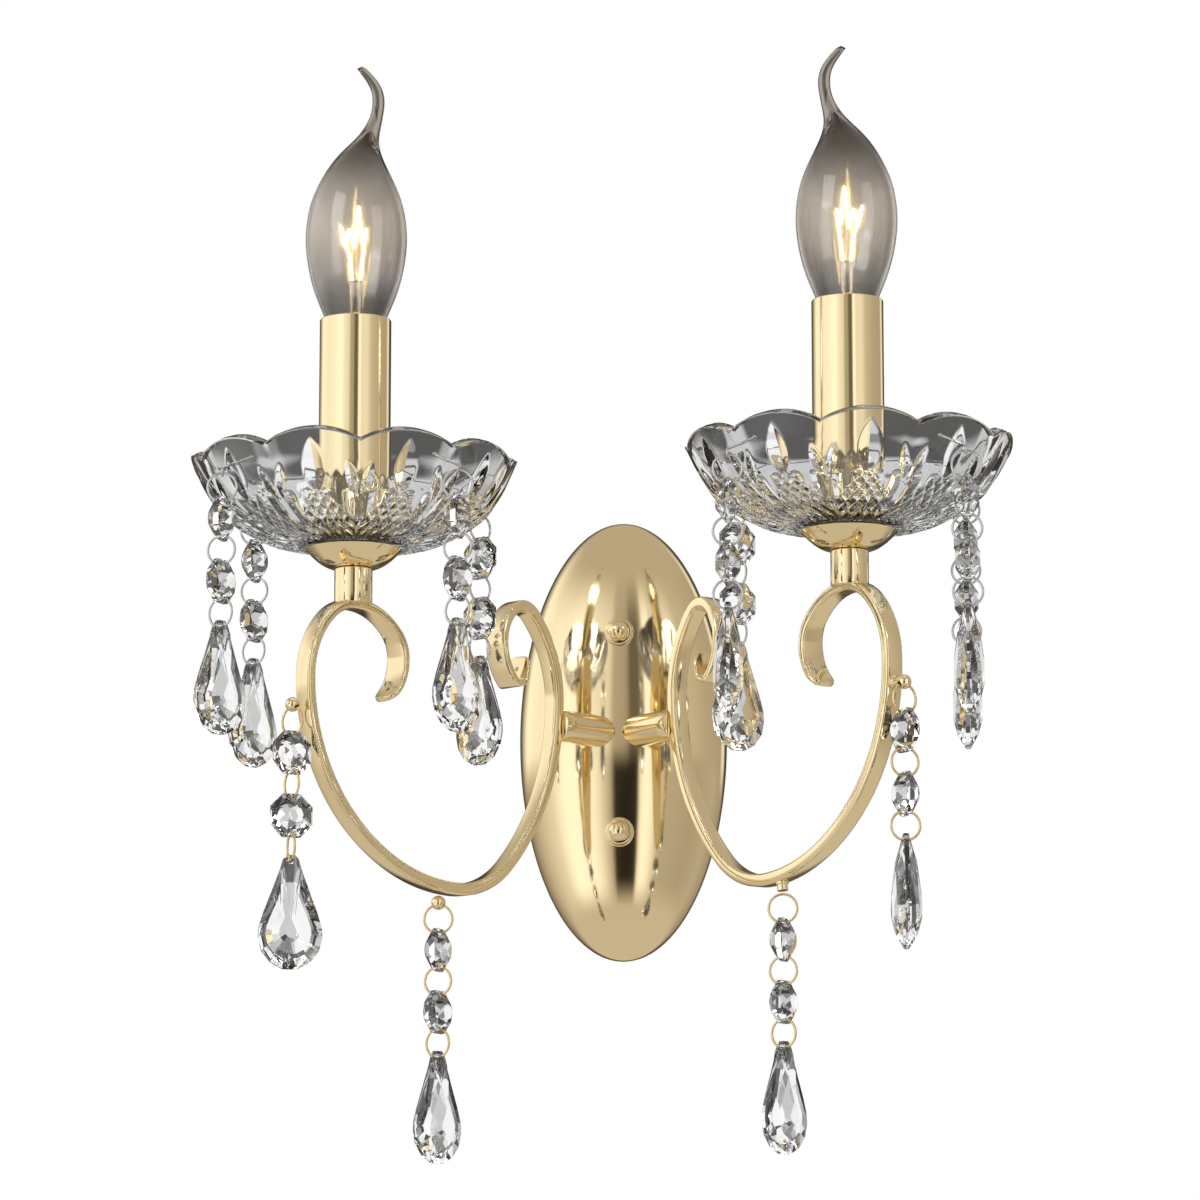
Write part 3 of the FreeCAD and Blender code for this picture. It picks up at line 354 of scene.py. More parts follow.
# Arms: each is one flat bar bent edge-on into a scroll, a deep loop and a hook, with its two
# ends hammered wide and drilled. Two drilled balls on collars are brazed on to take chains.
# The bar's sizes are (width, thickness), and a quarter turn's reaches are (along, across).
LEAN = math.radians(50)
RIGHT_SET = math.radians(2.5)
BOSS_ASIDE, BOSS_AHEAD, BOSS_UP = 21.8, -42.5, 8.0
BAR, SHOULDER, LOOP = (6.2, 4.4), (7.2, 4.4), (7.2, 3.5)
FLARE, TAB = (9.4, 3.0), (11.0, 1.8)
FIRST_TURN, DEEP_TURN, TOP_TURN = (70.5, 49.6), (69.9, 66.6), (26.9, 21.6)
ARC_STEP, STRAIGHT_STEPS = 1.8, 8  # degrees, and steps in a straight run
BAR_CORNER, CORNER_STEPS = 1.1, 5
END_TAPER, END_FINE, END_NARROW = 5.0, 6, 0.35
END_HOLE, END_HOLE_INSET, DRILL_REACH = 0.9, 4.6, 3
PEG_BALL, PEG_DRILL, PEG_HOLE, PEG_DRILL_REACH = 2.45, 0.95, 0.9, 4
COLLAR, NECK, PEG_FILLET = 2.3, 1.9, 0.3
BOTTOM_PEG_WAY = np.array([0.9962, -0.0872, 0])  # the way of the lower balls' holes


class Arm:
    """The upright plane of one arm: points in it are (out, up) from the bar's middle at the boss."""

    def __init__(self, side):
        self.origin = np.array([side * BOSS_ASIDE, BOSS_AHEAD, 0.0])
        self.out = np.array([side * math.cos(LEAN), -math.sin(LEAN), 0.0])
        self.across = np.array([side * math.sin(LEAN), math.cos(LEAN), 0.0])
        self.set = RIGHT_SET if side > 0 else 0.0

    def at(self, flat):
        """The places of points (out, up), turned up about the boss by the arm's set."""
        out, up = flat[..., 0:1], flat[..., 1:2]
        c, s = math.cos(self.set), math.sin(self.set)
        return self.origin + self.out * (out * c - up * s) + UP * (out * s + up * c)

    def way(self, heading):
        """The direction at an angle above the arm's way out."""
        h = np.asarray(heading)[..., None] + self.set
        return self.out * np.cos(h) + UP * np.sin(h)


def eighths(along, across):
    """The two radii of a quarter turn made of two arcs of an eighth of a circle."""
    a, b = math.sqrt(0.5), 1 - math.sqrt(0.5)
    return (a * along - b * across) / (a * a - b * b), (a * across - b * along) / (a * a - b * b)


def follow(point, heading, runs):
    """Walk along arcs (radius, degrees, width, thickness) and straights (0, length, ...).

    The place on an arc is its middle plus the radius at the turned heading. Gives arrays of the
    places, the headings and the bar's sizes.
    """
    places, headings, sizes = [np.array([point])], [np.array([heading])], [np.array([runs[0][2:]])]
    for radius, turn, wide, thick in runs[1:]:
        old = sizes[-1][-1]
        if radius == 0:
            part = np.linspace(0, 1, STRAIGHT_STEPS + 1)[1:]
            new = point + np.outer(part * turn, [math.cos(heading), math.sin(heading)])
            bent = np.full(len(part), heading)
        else:
            part = np.linspace(0, 1, max(5, int(abs(turn) / ARC_STEP)))[1:]
            way = math.copysign(1, turn)
            middle = point + way * radius * np.array([-math.sin(heading), math.cos(heading)])
            bent = heading + math.radians(turn) * part
            new = middle + way * radius * np.stack([np.sin(bent), -np.cos(bent)], 1)
        places.append(new)
        headings.append(bent)
        sizes.append(old + (np.array([wide, thick]) - old) * part[:, None])
        point, heading = new[-1], bent[-1]
    return np.concatenate(places), np.concatenate(headings), np.concatenate(sizes)


def quarter(reaches, way, middle, last):
    """A quarter turn as two runs, with the bar's sizes at its middle and its end."""
    first, second = eighths(*reaches)
    return [(first, 45 * way) + middle, (second, 45 * way) + last]


def mid(a, b):
    """The sizes halfway between two."""
    return ((a[0] + b[0]) / 2, (a[1] + b[1]) / 2)


lower_runs = [(0, 0) + BAR]
lower_runs += quarter(FIRST_TURN, 1, BAR, BAR)
lower_runs += quarter(DEEP_TURN, 1, mid(BAR, LOOP), LOOP)
lower_runs += quarter(TOP_TURN, 1, LOOP, LOOP)
lower_runs += quarter((21.5, 16.6), 1, mid(LOOP, FLARE), FLARE)
lower_runs += [(17.8, 54.7) + TAB]
upper_runs = [(0, 0) + BAR]
upper_runs += quarter((32.1, 17.8), -1, mid(BAR, SHOULDER), SHOULDER)
upper_runs += quarter((10.8, 13.8), -1, mid(SHOULDER, FLARE), FLARE)
upper_runs += quarter((14.4, 7.1), -1, mid(FLARE, TAB), TAB)
upper_runs += [(3.0, -80.0) + TAB, (0, 8.0) + TAB]
lower = follow(np.array([0, BOSS_UP]), -math.pi / 2, lower_runs)
upper = follow(np.array([0, BOSS_UP]), math.pi / 2, upper_runs)


def travelled(points):
    """How far along a path each of its points lies."""
    return np.r_[0, np.cumsum(np.linalg.norm(np.diff(points, axis=0), axis=1))]


def read_off(at, steps, pairs):
    """Pairs that are known at some distances along a path, read off at others."""
    return np.stack([np.interp(at, steps, pairs[:, k]) for k in (0, 1)], -1)


def bar(arm):
    """The bar: a rounded rectangle carried along the walk, square to it, with the width drawn in
    by a half oval over the last few millimetres of each end."""
    flip = [upper[0][:0:-1], upper[1][:0:-1] + math.pi, upper[2][:0:-1]]
    spots, turns, sizes = (np.concatenate([a, b]) for a, b in zip(flip, lower))
    steps = travelled(spots)
    keep = np.r_[True, np.diff(steps) > 1e-6]
    spots, turns, sizes, steps = spots[keep], turns[keep], sizes[keep], steps[keep]
    fine = np.linspace(0, END_FINE, 25)
    even = np.unique(np.r_[steps, fine, steps[-1] - fine])
    spots, sizes = read_off(even, steps, spots), read_off(even, steps, sizes)
    turns = np.interp(even, steps, np.unwrap(turns))
    ends = np.clip(np.minimum(even, even[-1] - even) / END_TAPER, 0, 1)
    wide = sizes[:, 0] / 2 * (END_NARROW + (1 - END_NARROW) * np.sqrt(1 - (1 - ends) ** 2))
    thick = sizes[:, 1] / 2
    edge = np.minimum(BAR_CORNER, thick * 0.85)
    corner = np.linspace(0, math.pi / 2, CORNER_STEPS)
    a = np.concatenate([corner + k * math.pi / 2 for k in range(4)])
    signs = np.repeat([[1, 1], [-1, 1], [-1, -1], [1, -1]], CORNER_STEPS, axis=0)
    x = signs[:, 0] * (wide - edge)[:, None] + edge[:, None] * np.cos(a)
    y = signs[:, 1] * (thick - edge)[:, None] + edge[:, None] * np.sin(a)
    normal = arm.way(turns + math.pi / 2)
    ring = arm.at(spots)[:, None] + arm.across * x[..., None] + normal[:, None] * y[..., None]
    first, last = (np.repeat(end.mean(1, keepdims=True), len(a), 1) for end in (ring[:1], ring[-1:]))
    return np.concatenate([first, ring, last]), False, True


def ball(centre, radius, around=40):
    """A sphere, as a half circle turned about the upright."""
    t = np.linspace(-math.pi / 2, math.pi / 2, around // 2 + 1)
    return turned(np.stack([radius * np.cos(t), radius * np.sin(t)], 1), centre, (0, 0, 1), around)


def rod(start, end, radius, fillet=0.0, around=32):
    """A round rod with closed ends."""
    start, end = np.array(start, float), np.array(end, float)
    length = np.linalg.norm(end - start)
    profile = rounded([(0, 0, 0), (radius, 0, fillet), (radius, length, fillet), (0, length, 0)])
    return turned(profile, start, end - start, around)


def drilled(piece, holes):
    """Take round holes out of a piece."""
    cutter = surface("drill", holes, piece.data.materials[0])
    made = piece.modifiers.new("holes", "BOOLEAN")
    made.operation, made.solver, made.object = "DIFFERENCE", "EXACT", cutter
    bpy.context.view_layer.objects.active = piece
    bpy.ops.object.modifier_apply(modifier=made.name)
    bpy.data.objects.remove(cutter)
    piece.data.set_sharp_from_angle(angle=math.radians(30))
    return piece


def end_hole(arm, walk):
    """The drill through the flared end of a walk, square to the bar."""
    steps = travelled(walk[0])
    at = steps[-1] - END_HOLE_INSET
    normal = arm.way(np.interp(at, steps, walk[1]) + math.pi / 2)
    spot = arm.at(read_off(at, steps, walk[0]))
    return rod(spot - normal * DRILL_REACH, spot + normal * DRILL_REACH, END_HOLE)


def peg(arm, middle, radius, half, reach, degrees):
    """A collar, a neck and a ball on a bend. They lie on a line from the bend's middle at an
    angle: its radius and half the bar's thickness lead to the bar's skin, and the reach on to
    the ball's centre."""
    way = arm.way(math.radians(degrees))
    middle = arm.at(middle)
    foot, centre = middle + way * (radius + half * 0.5), middle + way * (radius + half + reach)
    collar, end = half * 0.5 + 0.5, half * 0.5 + reach - 0.5
    profile = [(0, 0, 0), (COLLAR, 0, 0), (COLLAR, collar, PEG_FILLET)]
    profile += [(NECK, half * 0.5 + 0.9, PEG_FILLET), (NECK, end, 0), (0, end, 0)]
    return [turned(rounded(profile), foot, way, 40), ball(centre, PEG_BALL)], centre


bottom_radius, outer_radius = eighths(*DEEP_TURN)
top_radius = eighths(*TOP_TURN)[1]
loop_foot = np.array([FIRST_TURN[1], BOSS_UP - FIRST_TURN[0]])
loop_side = loop_foot + DEEP_TURN
loop_top = loop_side + [-TOP_TURN[1], TOP_TURN[0]]
arms = {"left": Arm(-1), "right": Arm(1)}
peg_holes = {}
for word, arm in arms.items():
    grids, drills = [bar(arm)], []
    for name, middle, radius, half, reach, degrees, axis in (
        ("arm_outer", loop_side - [outer_radius, 0], outer_radius, 1.75, 4.8, -8.5, arm.across),
        ("arm_bottom", loop_foot + [0, bottom_radius], bottom_radius, 2.2, 3.3, -84.8, BOTTOM_PEG_WAY),
    ):
        skins, centre = peg(arm, middle, radius, half, reach, degrees)
        grids += skins
        hole = centre - UP * PEG_HOLE
        drills.append(rod(hole - axis * PEG_DRILL_REACH, hole + axis * PEG_DRILL_REACH, PEG_DRILL))
        peg_holes[word + "_" + name] = (hole, axis * math.copysign(1, axis[0]))
    drills += [end_hole(arm, walk) for walk in (lower, upper)]
    piece = drilled(surface(word + "_arm_bar", grids, gold, 35.0), drills)
    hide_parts(word + "_arm")
    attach(piece, "wall_light")

# Arm bosses: a turned stub between the dome and the bar, with its foot cut to the dome's
# curve, and a threaded end that goes through the plate to its nut.
BOSS, BOSS_FACE = 5.7, 1.2
BOSS_ROUND, BOSS_ROWS = 72, (0.25, 0.5, 0.75, 1.0)
SPIGOT, SPIGOT_START, SPIGOT_END, SPIGOT_FILLET = 3.0, 19, 28.6, 0.4


def boss(arm, radius):
    """A cylinder on the arm's line: its near end is flat against the bar, and each point of its
    far end lies where a line along the cylinder meets the dome."""
    t = once_round(BOSS_ROUND)[:, None]

    def ring(r, s):
        """A circle about the line at a distance behind the bar."""
        return arm.origin - arm.out * s + r * (np.cos(t) * arm.across + np.sin(t) * UP)

    rows = [ring(0, BOSS_FACE), ring(radius - 0.5, BOSS_FACE)]
    rows += [ring(radius - 0.15, BOSS_FACE + 0.12), ring(radius, BOSS_FACE + 0.5)]
    start = ring(radius, 0)
    a, b = start / PLATE, -arm.out / PLATE
    squared, mixed, rest = b @ b, a @ b, (a * a).sum(1) - 1
    reach = (-mixed - np.sqrt(mixed * mixed - squared * rest)) / squared
    rows += [start - arm.out * reach[:, None] * k for k in BOSS_ROWS]
    rows += [ring(0, reach.mean())]
    return np.stack(rows, 1), True, False


for word, arm in arms.items():
    start, end = (arm.origin - arm.out * reach for reach in (SPIGOT_START, SPIGOT_END))
    spigot = rod(start, end, SPIGOT, SPIGOT_FILLET)
    piece = surface(word + "_boss", [boss(arm, BOSS), spigot], gold)
    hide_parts(word + "_arm_boss")
    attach(piece, "wall_light")

# Lamp stems, drip cups and candle sleeves: turned and spun brass, plated with the rest. The
# stem stands on the arm's loop, the cup carries the glass dish, and the sleeve stands in it.
# Heights are above the top of the arm's loop, or above the cup's or sleeve's own foot.
CUP_AT, DISH_AT, INSIDE_AT, BULB_AT = 12.45, 19.15, 24.25, 93.25
STEM, STEM_FOOT, STEM_TOP = 6.5, 0.15, 12.35
CUP_HOLE, CUP_FOOT, CUP_SPREAD, CUP_HEIGHT, CUP_WALL = 5.2, 7, 9.4, 6.5, 0.8
CUP_FLOOR, CUP_INSIDE = 0.9, 0.95
SLEEVE, SLEEVE_BORE, SLEEVE_LIP, SLEEVE_HEIGHT = 12.3, 11.5, 11.1, 75.0
stem_profile = rounded([(0, STEM_FOOT, 0), (STEM, STEM_FOOT, 0.3), (STEM, STEM_TOP, 0.5), (0, STEM_TOP, 0)])
sleeve_profile = [(SLEEVE_BORE, 0, 0), (SLEEVE, 0, 0.2), (SLEEVE, SLEEVE_HEIGHT, 0.55)]
sleeve_profile += [(SLEEVE_LIP, SLEEVE_HEIGHT, 0.5), (SLEEVE_LIP, 73.6, 0.3)]
sleeve_profile += [(SLEEVE_BORE, 73.2, 0), (SLEEVE_BORE, 0, 0)]
sleeve_profile = rounded(sleeve_profile, 7)
axes = {word: arm.at(loop_top - [0, top_radius]) + UP * top_radius for word, arm in arms.items()}


def flare(wall):
    """The cup's side: a shallow bowl that leaves the stem nearly flat and curves up to its rim."""
    t = np.linspace(0, 1, 40)
    r = CUP_FOOT + CUP_SPREAD * t
    h = CUP_HEIGHT * t**1.7
    slope = np.stack([np.gradient(h), -np.gradient(r)], 1)
    slope /= np.linalg.norm(slope, axis=1)[:, None]
    outer = np.stack([r, h], 1)
    inner = outer - slope * wall
    inner[:, 1] = np.clip(inner[:, 1], CUP_FLOOR, CUP_HEIGHT)
    inner[:, 0] = np.clip(inner[:, 0], CUP_HOLE, None)
    hole = [[CUP_HOLE, CUP_INSIDE], [CUP_HOLE, 0.0]]
    return np.concatenate([[[CUP_HOLE, 0.0]], outer, inner[::-1], hole])


for word, axis in axes.items():
    stem = surface(word + "_lamp_stem", [turned(stem_profile, axis)], gold)
    cup = surface(word + "_cup", [turned(flare(CUP_WALL), axis + UP * CUP_AT, around=128)], gold, 50.0)
    sleeve = surface(word + "_sleeve", [turned(sleeve_profile, axis + UP * INSIDE_AT, around=128)], gold)
    for piece, node in ((stem, "_stem"), (cup, "_drip_cup"), (sleeve, "_candle_sleeve")):
        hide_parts(word + node)
        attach(piece, "wall_light")
dress(zinc, "left_nipple", "right_nipple")
dress(plastic, "left_lampholder", "right_lampholder")

# Glass dishes: pressed clear crystal with ten lobes round the rim, a wheel-cut olive in each,
# leaves between them and crossed grooves below, polished bright after cutting.
LOBES, LOBE_DIP, LOBE_ARC = 10, 4.2, 0.452
DISH_HOLE, DISH_WALL, DISH_FLOOR = 5.2, 4.6, 5.0
SIDE_FOOT, DISH_HEIGHT = 12.7, 31.0
DISH_ROUND, DISH_ROWS, SOFTENED = 640, 100, 14
DISH_BEND = np.array(  # (radius, height) along the underside
    [
        [DISH_HOLE, 0.0], [17.0, 0.0], [30.5, 2.7], [39.5, 7.4],
        [46.4, SIDE_FOOT], [51.9, 21.85], [55.75, DISH_HEIGHT],
    ]
)
RIM_HEIGHT, RIM_SINK = 1.2, 1.0
CUTS_START = 17.5
NOTCH, NOTCH_FROM, NOTCH_REACH = 0.012, 0.35, 0.15
OLIVE_UP, LEAF_UP, LEAF_ASIDE, LEAF_TILT = 19.3, 15.0, 2.6, 0.30
OLIVE, LEAF = (8.8, 3.8, 1.5), (6.0, 1.8, 1.0)  # half a cut's length, half its width, its depth
HATCH_PITCH, HATCH_SLOPE, HATCH_DEPTH, FAN_DEPTH, SHARPNESS = 3.8, 1.1, 0.6, 0.7, 1.6
BAND_FOOT, BAND_TOP, BAND_STARTS, BAND_FADES = 0.15, 12.5, 0.4, 1.5
TRIANGLE_FOOT, TRIANGLE_HEIGHT, TRIANGLE_WIDE, TRIANGLE_NARROWS = 1.0, 11.0, 1.05, 0.95
DISH_TURN = {"left": math.radians(9.0), "right": math.radians(-9.0)}


def dimmed(colour, share):
    """A colour at a share of its brightness."""
    return tuple(c * share for c in colour[:3]) + (1,)


def clear_glass(name, tint, index, haze):
    """Clear glass with hardly visible wiping marks in its polish."""
    f = Finish(name)
    marks = f.noise(120.0, 3.0)
    return f.made_of(
        {
            "Base Color": f.blend(f.noise(25.0), tint, dimmed(tint, 0.985)),
            "Transmission Weight": 1.0,
            "IOR": index,
            "Roughness": f.between(marks, 0.0, haze),
        }
    )


dish_glass = clear_glass("dish glass", (0.985, 0.99, 0.99, 1), 1.52, 0.02)


def groove(side, up, tilt, half_length, half_width, depth):
    """A pointed olive cut: as deep as 1 minus how far a point lies out in a lens round the cut's
    own line, never less than nothing."""
    a = side * math.cos(tilt) + up * math.sin(tilt)
    b = -side * math.sin(tilt) + up * math.cos(tilt)
    lens = half_width * np.clip(1 - (b / half_length) ** 2, 0, 1)
    return depth * np.clip(1 - np.abs(a) / np.maximum(lens, 1e-6), 0, 1) * (lens > 1e-3) * (lens / half_width)


def fold(value):
    """From 1 at whole numbers to 0 at halves and back, as straight slopes."""
    return np.abs(value % 1 - 0.5) * 2


def carve(side, half_lobe, height, level):
    """Depth of the cutting at each point of the underside: a tall olive in each lobe, a pair of
    leaning leaves at each notch, and crossed grooves in a band and in triangles below."""
    cut = groove(side, height - OLIVE_UP, 0.0, *OLIVE)
    near = np.where(side > 0, side - half_lobe, side + half_lobe)
    for way in (1, -1):
        leaf = groove(near - way * LEAF_ASIDE, height - LEAF_UP, -way * LEAF_TILT, *LEAF)
        cut = np.maximum(cut, leaf)
    band = np.clip((BAND_TOP - level) / BAND_FADES, 0, 1) * np.clip((level - BAND_FOOT) / BAND_STARTS, 0, 1)
    risen = np.clip((level - TRIANGLE_FOOT) / TRIANGLE_HEIGHT, 0, 1)
    reach = np.maximum(half_lobe * (TRIANGLE_WIDE - TRIANGLE_NARROWS * risen), 0.1)
    triangle = np.clip(1.0 - np.abs(side) / reach, 0, 1) > 0
    one = fold((side + level * HATCH_SLOPE) / HATCH_PITCH)
    two = fold((side - level * HATCH_SLOPE) / HATCH_PITCH)
    hatch = np.maximum(1 - one * SHARPNESS, 1 - two * SHARPNESS)
    cut = np.maximum(cut, HATCH_DEPTH * np.clip(hatch, 0, 1) * band * triangle)
    fan = 1 - fold(side / np.maximum(half_lobe, 1) * 2) * SHARPNESS
    return np.maximum(cut, FAN_DEPTH * np.clip(fan, 0, 1) * band * (1 - triangle))


def dish_grid(axis, start):
    """The dish as one closed skin, from the hole out along the underside, over the rim and back
    along the inside. The rim's height follows ten arcs; cuts go into the underside by V-shaped
    grooves whose depth falls off evenly from each cut's middle line."""
    t = once_round(DISH_ROUND)[:, None]
    offset = ((t - start) * LOBES / (2 * math.pi)) % 1.0 - 0.5
    arc = 1 - np.sqrt(np.clip(1 - (offset * 2 * LOBE_ARC) ** 2, 0, 1))
    lobe = -LOBE_DIP * arc / (1 - math.sqrt(1 - LOBE_ARC**2))
    run = travelled(DISH_BEND)
    outer = read_off(run[-1] * np.linspace(0, 1, DISH_ROWS), run, DISH_BEND)
    for _ in range(SOFTENED):
        outer[1:-1] = (outer[:-2] + 2 * outer[1:-1] + outer[2:]) / 4
    r, h = outer[:, 0][None, :], outer[:, 1][None, :]
    rise = np.clip((h - SIDE_FOOT) / (DISH_HEIGHT - SIDE_FOOT), 0, 1)
    height = h + lobe * rise**1.5
    slope = np.gradient(outer, axis=0)
    slope /= np.linalg.norm(slope, axis=1)[:, None]
    normal_r, normal_h = slope[:, 1][None], -slope[:, 0][None]
    side = offset * 2 * math.pi / LOBES * r
    depth = carve(side, r * math.pi / LOBES, height, h) * np.clip((r - CUTS_START) / 2, 0, 1)
    plan = 1 - NOTCH * np.clip((np.abs(offset) - NOTCH_FROM) / NOTCH_REACH, 0, 1) ** 2 * rise
    under_r, under_h = (r - normal_r * depth) * plan, height - normal_h * depth
    inner_r = np.maximum((r - normal_r * DISH_WALL) * plan, DISH_HOLE)
    inner_h = np.maximum(height - normal_h * DISH_WALL, DISH_FLOOR)
    under = np.stack([under_r * np.sin(t), -under_r * np.cos(t), under_h + 0 * t], 2)
    inside = np.stack([inner_r * np.sin(t), -inner_r * np.cos(t), inner_h + 0 * t], 2)
    outer_rim, inner_rim = under[:, -1:], inside[:, -1:]
    k = np.linspace(0, math.pi, 9)[None, 1:-1, None]
    centre, half = (outer_rim + inner_rim) / 2, (outer_rim - inner_rim) / 2
    over = centre + half * np.cos(k) + UP * RIM_HEIGHT * np.sin(k) - UP * RIM_SINK
    back = inside[:, ::-1][:, ::2]
    whole = np.concatenate([under, over, back, under[:, :1]], 1)
    return whole + (axis + UP * DISH_AT), True, False


for word, axis in axes.items():
    dish = surface(word + "_dish", [dish_grid(axis, DISH_TURN[word])], dish_glass, 22.0)
    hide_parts(word + "_glass_dish")
    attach(dish, "wall_light")

# Hanger pins: bright silver wire pushed down through the dish's wall from inside, with a
# head within and an eye bent outside to take the first ring. The inner back pins are turned.
EYE_OUT, EYE_UP, EYE, EYE_WIRE = 56, 19.6, 1.35, 0.4
PIN, PIN_HEAD, PIN_RUN, PIN_SLOPE = 0.5, 0.8, 13.5, math.radians(24)
CORNERS = {"front_left": -45, "front_right": 45, "back_left": -135, "back_right": 135}  # degrees round
TURNED_PINS = {"left": ("back_right", 50), "right": ("back_left", -50)}
SILVER, GOLD_WIRE = (0.66, 0.67, 0.69, 1), (0.86, 0.66, 0.34, 1)


def bright_wire(name, base):
    """Drawn wire: bright, with faint draw marks."""
    f = Finish(name)
    marks = f.noise(400.0, 2.0)
    return f.made_of(
        {
            "Base Color": f.blend(marks, base, dimmed(base, 0.93)),
            "Metallic": 1.0,
            "Roughness": f.between(marks, 0.08, 0.2),
        }
    )


silver, gold_wire = bright_wire("silver wire", SILVER), bright_wire("gold wire", GOLD_WIRE)


def hoop(centre, radius, wire, normal, around=56, section=14):
    """A ring of round wire: a small circle carried round a large one."""
    n = np.array(normal, float) / np.linalg.norm(normal)
    u = np.cross(n, UP)
    u /= np.linalg.norm(u)
    v = np.cross(n, u)
    t = once_round(around)[:, None, None]
    s = once_round(section)[None, :, None]
    out = np.cos(t) * u + np.sin(t) * v
    return np.array(centre) + out * (radius + wire * np.cos(s)) + n * wire * np.sin(s), True, True


hang = {}
for word, axis in axes.items():
    grids = []
    turned_name, turned_by = TURNED_PINS[word]
    for name, degrees in CORNERS.items():
        a = math.radians(degrees)
        out = np.array([math.sin(a), -math.cos(a), 0])
        yaw = math.radians(turned_by) if name == turned_name else 0.0
        wire_way = np.array([math.cos(yaw), math.sin(yaw), 0])
        eye = axis + out * EYE_OUT + UP * (DISH_AT + EYE_UP)
        top = eye + UP * EYE
        start = top + (UP * math.tan(PIN_SLOPE) - out) * PIN_RUN
        grids += [rod(top, start, PIN, 0, 20), ball(top, PIN, 16), ball(start, PIN_HEAD, 20)]
        grids.append(hoop(eye, EYE, EYE_WIRE, wire_way, 32, 12))
        hang[word + "_" + name] = (eye, wire_way)
    pins = surface(word + "_pins", grids, silver)
    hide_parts(word + "_hanger_pins")
    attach(pins, "wall_light")

# Chains: machine-cut octagons and drops of lead crystal, held by rings of soft wire. Those
# of the dishes have silver rings, those of the arms gold ones. Each chain is one body.
RING, RING_WIRE = 4.9, 0.43
BEAD_REACH, BEAD_PLAY = 5.75, 0.02
EYE_SAG, PEG_PLAY = 0.42, 0.1
DISH_TWIST, ARM_TWIST = 8.0, 7.0
DROP = 38.5
# How far down the drop, and how many times wider it is made there.
SHOULDERS = ([0, 0.06, 0.13, 0.26, 0.40, 0.55, 0.70, 1], [1, 1.12, 1.5, 1.33, 1.17, 1.08, 1, 1])
crystal = clear_glass("crystal", (0.99, 0.99, 0.99, 1), 1.58, 0.01)


def chain_rings(centre, turn, twist):
    """The three rings of a chain: each hangs a bead's length below the last, and is turned back
    from it by twice the twist."""
    drop = 2 * (RING + BEAD_REACH - BEAD_PLAY)
    out = []
    for n in range(3):
        a = turn - 2 * n * math.radians(twist)
        out.append(hoop(centre - UP * (drop * n), RING, RING_WIRE, (math.sin(a), -math.cos(a), 0)))
    return out


def full_cut(chain):
    """A chain's crystals with fuller shoulders to the drop: the solid's own facets, made wider
    across the drop's face by an amount that depends on how far down it a corner lies."""
    source = nodes[chain + "_crystals"].data
    points = np.empty(3 * len(source.vertices), np.float32)
    source.vertices.foreach_get("co", points)
    points = points.reshape(-1, 3).astype(float)
    corners = np.empty(len(source.loops), np.int32)
    source.loops.foreach_get("vertex_index", corners)
    length = DROP / METRE
    down = (points[:, 2].min() + length - points[:, 2]) / length
    drop = down > -0.005
    flat = points[drop, :2] - (points[drop, :2].max(0) + points[drop, :2].min(0)) / 2
    across = np.linalg.svd(flat, full_matrices=False)[2][0]
    points[drop, :2] += np.outer((np.interp(down[drop], *SHOULDERS) - 1) * (flat @ across), across)
    mesh = bpy.data.meshes.new(chain + "_cut")
    mesh.from_pydata(points.tolist(), [], corners.reshape(-1, 3).tolist())
    mesh.materials.append(crystal)
    made = linked(chain + "_cut", mesh)
    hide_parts(chain + "_crystals")
    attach(made, chain + "_chain")


def hang_chain(chain, centre, way, twist, wire):
    """One chain, its first ring's centre at a place and in line with a way."""
    rings = surface(chain + "_links", chain_rings(centre, math.atan2(way[1], way[0]), twist), wire)
    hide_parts(chain + "_rings")
    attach(rings, chain + "_chain")
    full_cut(chain)


peg_sag = RING - math.sqrt(RING**2 - (PEG_BALL**2 - PEG_HOLE**2))
for word in arms:
    for name in CORNERS:
        eye, way = hang[word + "_" + name]
        twist = DISH_TWIST if word == "left" and abs(way[1]) < 1e-6 else 0.0
        hang_chain(word + "_" + name, eye - UP * (EYE_SAG + RING), way, twist, silver)
    for name in ("arm_outer", "arm_bottom"):
        hole, way = peg_holes[word + "_" + name]
        centre = hole - UP * (PEG_DRILL - PEG_PLAY - RING_WIRE - peg_sag + RING)
        hang_chain(word + "_" + name, centre, way, ARM_TWIST, gold_wire)

# Bulbs: smoky blown glass drawn to a bent tip, on a nickel screw cap, with a pressed glass
# mount inside that carries the support wires and the glowing filament. A station of the glass
# is (height, radius, how far its middle is moved aside).
BULB = np.array(
    [
        (0, 7.4, 0), (3.5, 9.3, 0), (8, 11.2, 0), (14, 13.6, 0), (21.3, 15.8, 0), (28, 17.0, 0),
        (34.5, 17.45, 0), (41, 17.0, 0), (47.3, 15.7, 0), (53.8, 13.2, 0.1), (60, 10.0, 0.4),
        (65.5, 6.7, 1.5), (70, 4.2, 3.4), (74, 2.9, 5.2), (79, 2.2, 6.8), (84, 2.1, 7.3),
        (88, 2.0, 6.5), (92, 1.9, 4.2), (95.4, 1.6, 1.4),
    ]
)
BULB_WALL, HOLLOW_TOP, HOLLOW_FOOT, BULB_LIFT = 0.8, 72.5, 0.4, 0.1
GATHER, GATHER_FROM, GATHER_OVER = 2.3, 56, 18
TIP, HOLLOW_TIP = 0.9, 0.1
BULB_ROUND, BULB_ROWS = 96, 160
MOUNT_TOP, GLOW_MIDDLE, HOT_WIRE = 20.0, 34.0, 0.35
FILAMENT = [  # (aside, up) from the top of the mount
    (-1.3, 0.3), (-2.4, 9), (-5.4, 19), (-4.0, 12.5), (-2.4, 18), (-0.8, 12),
    (0.7, 26), (2.0, 13.5), (3.4, 18), (2.4, 9), (1.3, 0.3),
]
CLEAR_TINT, NECK_TINT = (0.96, 0.95, 0.94, 1), (0.60, 0.58, 0.55, 1)
